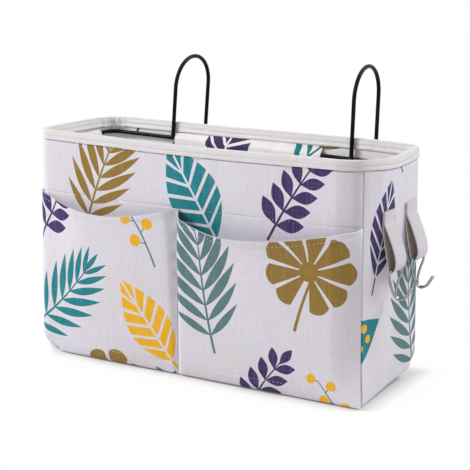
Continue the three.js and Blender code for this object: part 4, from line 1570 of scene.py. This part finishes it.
def key_hook_path():
    """One wire from a tip, round the bend, up to the eye, through the strap and back."""
    half = spline(
        [
            (KEY_TIP_OUT, KEY_PAIR, -KEY_TIP_DROP),
            (0.8 * KEY_TIP_OUT, KEY_PAIR, -1.3 * KEY_TIP_DROP),
            (0.6 * KEY_TIP_OUT, KEY_PAIR, -0.93 * KEY_BEND_DROP),
            (KEY_BEND_OUT, KEY_PAIR, -KEY_BEND_DROP),
            (0.25 * KEY_BEND_OUT, KEY_PAIR, -0.95 * KEY_BEND_DROP),
            (-0.2 * KEY_BEND_OUT, 0.2 * KEY_EYE_HALF, -0.8 * KEY_BEND_DROP),
            (-0.3 * KEY_BEND_OUT, 0.55 * KEY_EYE_HALF, -0.54 * KEY_BEND_DROP),
            (-0.1 * KEY_BEND_OUT, 0.92 * KEY_EYE_HALF, -0.28 * KEY_BEND_DROP),
            (0, KEY_EYE_HALF, -KEY_EYE_DROP),
        ],
        6,
    )
    corner = 2 * KEY_RADIUS
    shoulder = circle_points(np.radians(np.linspace(0, 90, 9)), corner, KEY_EYE_HALF - corner, -corner)
    half = np.concatenate([half, points_of(0.0, *shoulder.T)])
    return np.concatenate([half, (half * [1, -1, 1])[::-1]])


def make_key_hook(place):
    """A nickel key hook in its strap."""
    path = key_hook_path() + JOINT_AT[place + "_key_hook_swing"]
    node = "key_hook_" + place
    put(tube(node + "_wire", path, KEY_RADIUS, [NICKEL], 14), "nickel_wire", "key_" + place, node)


# The sleeves over the frame's wire: which way each faces, its print's shift and its seed.

SLEEVES = {
    "sleeve_back": ((0.0, -1.0, 0.0), (157, 48), 61),
    "sleeve_front": ((0.0, 1.0, 0.0), (20, 100), 62),
    "sleeve_left": ((1.0, 0.0, 0.0), (240, 200), 63),
    "sleeve_right": ((-1.0, 0.0, 0.0), (300, 120), 64),
}
SLEEVE_LAY = 0.45 * MM
SLEEVE_BULGE = LINING_Y - RING_Y + WIRE_RADIUS + LAYER_GAP
SLEEVE_CLIMB = 3.4 * MM
SLEEVE_FALL_BACK = 0.45
SLEEVE_LOOSENESS = (0.5 * MM, 34 * MM, 0.9)
SLEEVE_FREE_BELOW = (3 * MM, 15 * MM)
SLEEVE_HELD_SHARE = 0.35


def make_sleeve(node, inward, shift, seed):
    """A soft sleeve over the wire: sewn above it under the binding, and hanging loose below it."""
    low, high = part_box(node)
    inward = np.array(inward)
    along = np.cross([0.0, 0.0, 1.0], inward)
    face = -inward * (LINING_X if inward[0] else LINING_Y)
    half = abs(np.dot(np.array(high - low), along)) / 2
    centre = face + along * np.dot(np.array((low + high) / 2), along)

    def place(a, b):
        p = centre + a[..., None] * along
        above = b - ring_height(p[..., 0])
        free = smooth_step(-above, *SLEEVE_FREE_BELOW)
        lift = np.where(above > 0, hump(above, 0, SLEEVE_CLIMB), 1 - SLEEVE_FALL_BACK * free)
        out = SLEEVE_LAY + SLEEVE_CLOTH + (SLEEVE_BULGE - SLEEVE_LAY) * lift
        wave = standing_off(a, b, SLEEVE_LOOSENESS, seed)
        p = p + (out + wave * np.maximum(free, SLEEVE_HELD_SHARE * lift))[..., None] * inward
        return points_of(p[..., 0], p[..., 1], b)

    columns = steps(-half, half, 4 * MM)
    shares = np.linspace(0, 1, 22)
    span = upright_span(low.z, high.z)
    sheet = cloth_sheet(node + "_cloth", columns, span, shares, place, SLEEVE_CLOTH, shift, LINED_PAINTED_LIGHT)
    finish_cloth(sheet, node, "lining_cloth")


# The strap loops.

STRAP_BELLY_OUT = 11.5 * MM
STRAP_BELLY_DROP = 33 * MM
STRAP_EDGE = 0.5 * MM
STRAP_EDGE_ROUND = 0.1 * MM
STRAP_SEAM_INSET = 2 * MM
STRAP_SEAM_DEPTH = 0.25 * MM
STRAP_SEAM_WIDTH = 0.8 * MM
TACK_DROPS = (1.3 * MM, 4.2 * MM)
TACK_INSET = 1.6 * MM


def strap_line(pivot, bar):
    """The middle line of a strap in the plane across it: down behind, round the bar and up in front."""
    half = STRAP_CLOTH / 2
    top = TAB_HIGH.z - pivot[2]
    bar_out = bar[0] - pivot[0]
    bar_drop = pivot[2] - bar[2]
    grip = KEY_RADIUS + LAYER_GAP + half
    points = [(-half, top), (-half, 0.5 * top), (-half, 0), (-half, -0.1 * bar_drop)]
    points += [(0.1 * bar_out, -0.4 * bar_drop), (0.5 * bar_out, -0.8 * bar_drop)]
    points += circle_points(np.radians([180, 210, 240, 270, 300]), grip, bar_out, -bar_drop).tolist()
    points += [
        ((bar_out + grip + STRAP_BELLY_OUT) / 2, -bar_drop + 0.4 * grip),
        (STRAP_BELLY_OUT, -STRAP_BELLY_DROP),
        (0.82 * STRAP_BELLY_OUT, -0.72 * STRAP_BELLY_DROP),
        (0.38 * STRAP_BELLY_OUT, -0.33 * STRAP_BELLY_DROP),
        (1.5 * half, -0.1 * STRAP_BELLY_DROP),
        (half, 0),
        (half, 0.5 * top),
        (half, top),
    ]
    return spline(points, 6)


def strap_section():
    """A strap in section: across and through, with rounded edges and rows of edge stitching pressed in."""
    half = STRAP_WIDTH / 2
    thick = STRAP_CLOTH / 2
    across = np.linspace(-half + STRAP_EDGE, half - STRAP_EDGE, 25)
    pressed = STRAP_SEAM_DEPTH * hump(np.abs(across), half - STRAP_SEAM_INSET, STRAP_SEAM_WIDTH)
    face = points_of(across, thick - pressed)
    shoulder = half - STRAP_EDGE_ROUND
    edge = np.array([[shoulder, 0.6 * thick], [half, 0.0], [shoulder, -0.6 * thick]])
    return np.concatenate([face, edge, -face, -edge])


def make_strap(place):
    """One ribbon folded round the eye of its key hook and sewn to the wall."""
    pivot = JOINT_AT[place + "_strap_swing"]
    line = strap_line(pivot, JOINT_AT[place + "_key_hook_swing"])
    path = points_of(pivot[0] + line[:, 0], pivot[1], pivot[2] + line[:, 1])
    sides = np.repeat([[0.0, 1.0, 0.0]], len(path), 0)
    ups = np.cross(unit(np.gradient(path, axis=0)), sides)
    section = strap_section()
    # Painted shade: the inner face of the loop takes the brown-beige strap colours.
    shaded_backs = (section[:, 1] > 0.2 * STRAP_CLOTH).astype(int)
    name = "strap_" + place
    strap = sweep(name + "_ribbon", path, sides, ups, section, [STRAP_SHADED, STRAP_BACK_SHADE], ring_looks=shaded_backs)
    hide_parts("strap_tab_" + place, "strap_loop_" + place)
    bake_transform(strap)
    cut = (STRAP_WIDTH, line_length(path))
    reach = STRAP_WIDTH / 2 - TACK_INSET
    y = steps(pivot[1] - reach, pivot[1] + reach, 2 * MM)
    out = np.repeat([[1.0, 0.0, 0.0]], len(y), 0)
    for k, drop in enumerate(TACK_DROPS):
        row = points_of(pivot[0] + STRAP_CLOTH, y, TAB_HIGH.z - drop)
        stitches(name + "_tack_" + str(k + 1), row, out, TACK_STITCH)


# Floor, light and camera. The floor is white where it is seen, and darker close to the box.

FLOOR_HALF = 6.0
FLOOR_DROP = 0.4 * MM
SHADOW_NEAR = (58.0, 0.07)
SHADOW_FAR = (4.0, 0.86)
SHADOW_LEFT_FADE = 4.0
SHADOW_CORNER_FADE = 3.0
SHADOW_CORNER_CUT = 13 * MM
WORLD_COLOUR = (1.0, 0.962, 0.935, 1.0)
WORLD_STRENGTH = 0.385

# A key from the front left, and a weaker fill from above the right end: place, size, power and colour.
LAMPS = {
    "key": ((-1.6, -1.3, 1.45), 0.7, 41.0, (0.975, 0.988, 1.0)),
    "fill": ((1.25, 0.9, 1.5), 0.9, 24.5, (0.95, 0.98, 1.0)),
}


def white_where_seen(tree, share, unseen, shader, output):
    """Joins a mix of an unseen shader and white to an output. It is white where share is 1 and it is seen.

    Seen means by the camera, or in metal or glass."""
    path = add_node(tree, "ShaderNodeLightPath", {})
    seen = calc(tree, "MAXIMUM", path.outputs["Is Camera Ray"], path.outputs["Is Glossy Ray"])
    seen = calc(tree, "MAXIMUM", seen, path.outputs["Is Transmission Ray"])
    white = add_node(tree, shader, {"Color": WHITE, "Strength": 1.0})
    inputs = {0: calc(tree, "MULTIPLY", seen, share), 1: unseen.outputs[0], 2: white.outputs[0]}
    both = add_node(tree, "ShaderNodeMixShader", inputs)
    tree.links.new(both.outputs[0], tree.nodes[output].inputs["Surface"])


def floor_glow(tree):
    """How white the floor is: dark at the box's foot, and white further off."""
    place = add_node(tree, "ShaderNodeNewGeometry", {})
    parts = add_node(tree, "ShaderNodeSeparateXYZ", {"Vector": place.outputs["Position"]})
    x, y = parts.outputs["X"], parts.outputs["Y"]
    right = calc(tree, "SUBTRACT", x, HALF_WIDTH)
    left = times_plus(tree, x, -SHADOW_LEFT_FADE, -SHADOW_LEFT_FADE * HALF_WIDTH)
    behind = calc(tree, "SUBTRACT", calc(tree, "ABSOLUTE", y), HALF_DEPTH)
    ways = [calc(tree, "MAXIMUM", way, 0.0) for way in (calc(tree, "MAXIMUM", left, right), behind)]
    squares = [calc(tree, "POWER", way, 2.0) for way in ways]
    away = calc(tree, "SQRT", calc(tree, "ADD", *squares))
    cut = HALF_WIDTH + HALF_DEPTH - SHADOW_CORNER_CUT
    corner = times_plus(tree, calc(tree, "ADD", x, y), -SHADOW_CORNER_FADE, -SHADOW_CORNER_FADE * cut)
    away = calc(tree, "MAXIMUM", away, corner)
    glow = calc(tree, "MINIMUM", *[times_plus(tree, away, *fade) for fade in (SHADOW_NEAR, SHADOW_FAR)])
    return calc(tree, "MINIMUM", glow, 1.0)


def make_floor():
    """A white floor that keeps a soft shadow round the object."""
    corners = [(-1, -1, 0), (1, -1, 0), (1, 1, 0), (-1, 1, 0)]
    points = FLOOR_HALF * np.array(corners, float)
    material, tree, shader = new_material("floor")
    tree.nodes.remove(shader)
    matte = add_node(tree, "ShaderNodeBsdfDiffuse", {"Color": FLOOR_COLOUR})
    white_where_seen(tree, floor_glow(tree), matte, "ShaderNodeEmission", "Material Output")
    floor = make_piece("floor", points, [[0, 1, 2, 3]], points[:, :2], [material])
    floor.location.z = -FLOOR_DROP


def make_world():
    """White where it is seen, and a plain soft light on the object."""
    world = bpy.data.worlds.new("studio")
    world.use_nodes = True
    tree = world.node_tree
    tree.nodes.remove(tree.nodes["Background"])
    soft = add_node(tree, "ShaderNodeBackground", {"Color": WORLD_COLOUR, "Strength": WORLD_STRENGTH})
    white_where_seen(tree, 1.0, soft, "ShaderNodeBackground", "World Output")
    bpy.context.scene.world = world


def aimed(name, data, place, way):
    """A lamp or camera at a place that points a way."""
    made = bpy.data.objects.new(name, data)
    made.location = place
    made.rotation_mode = "QUATERNION"
    made.rotation_quaternion = way.to_track_quat("-Z", "Y")
    bpy.context.scene.collection.objects.link(made)
    return made


def make_lamp(name, place, size, power, colour):
    """A soft square lamp that points at the middle of the object."""
    data = bpy.data.lights.new(name, "AREA")
    data.shape = "SQUARE"
    data.size = size
    data.energy = power
    data.color = colour
    aimed(name, data, place, CAMERA_AIM - Vector(place))


def make_camera():
    """The photograph's camera."""
    data = bpy.data.cameras.new("camera")
    data.sensor_width = SENSOR
    data.lens = SENSOR * FOCAL_PIXELS / PICTURE_SIDE
    level = math.cos(CAMERA_ELEVATION)
    back_x = math.sin(CAMERA_AZIMUTH) * level
    back_y = -math.cos(CAMERA_AZIMUTH) * level
    back = Vector((back_x, back_y, math.sin(CAMERA_ELEVATION)))
    bpy.context.scene.camera = aimed("camera", data, CAMERA_AIM + back * CAMERA_DISTANCE, -back)


bpy.context.scene.view_settings.view_transform = "Standard"
make_camera()
make_world()
for lamp, facts in LAMPS.items():
    make_lamp(lamp, *facts)
make_floor()
for wall in WALL_TURNS:
    make_outer_wall(wall)
    make_board(wall)
    make_lining_wall(wall)
make_outer_base()
make_board_base()
make_lining_base()
make_binding()
make_pockets()
make_wall_stitches()
make_frame_ring()
for hook, facts in BED_HOOKS.items():
    make_bed_hook(hook, *facts)
for sleeve, facts in SLEEVES.items():
    make_sleeve(sleeve, *facts)
for where in ("front", "rear"):
    make_strap(where)
    make_key_hook(where)
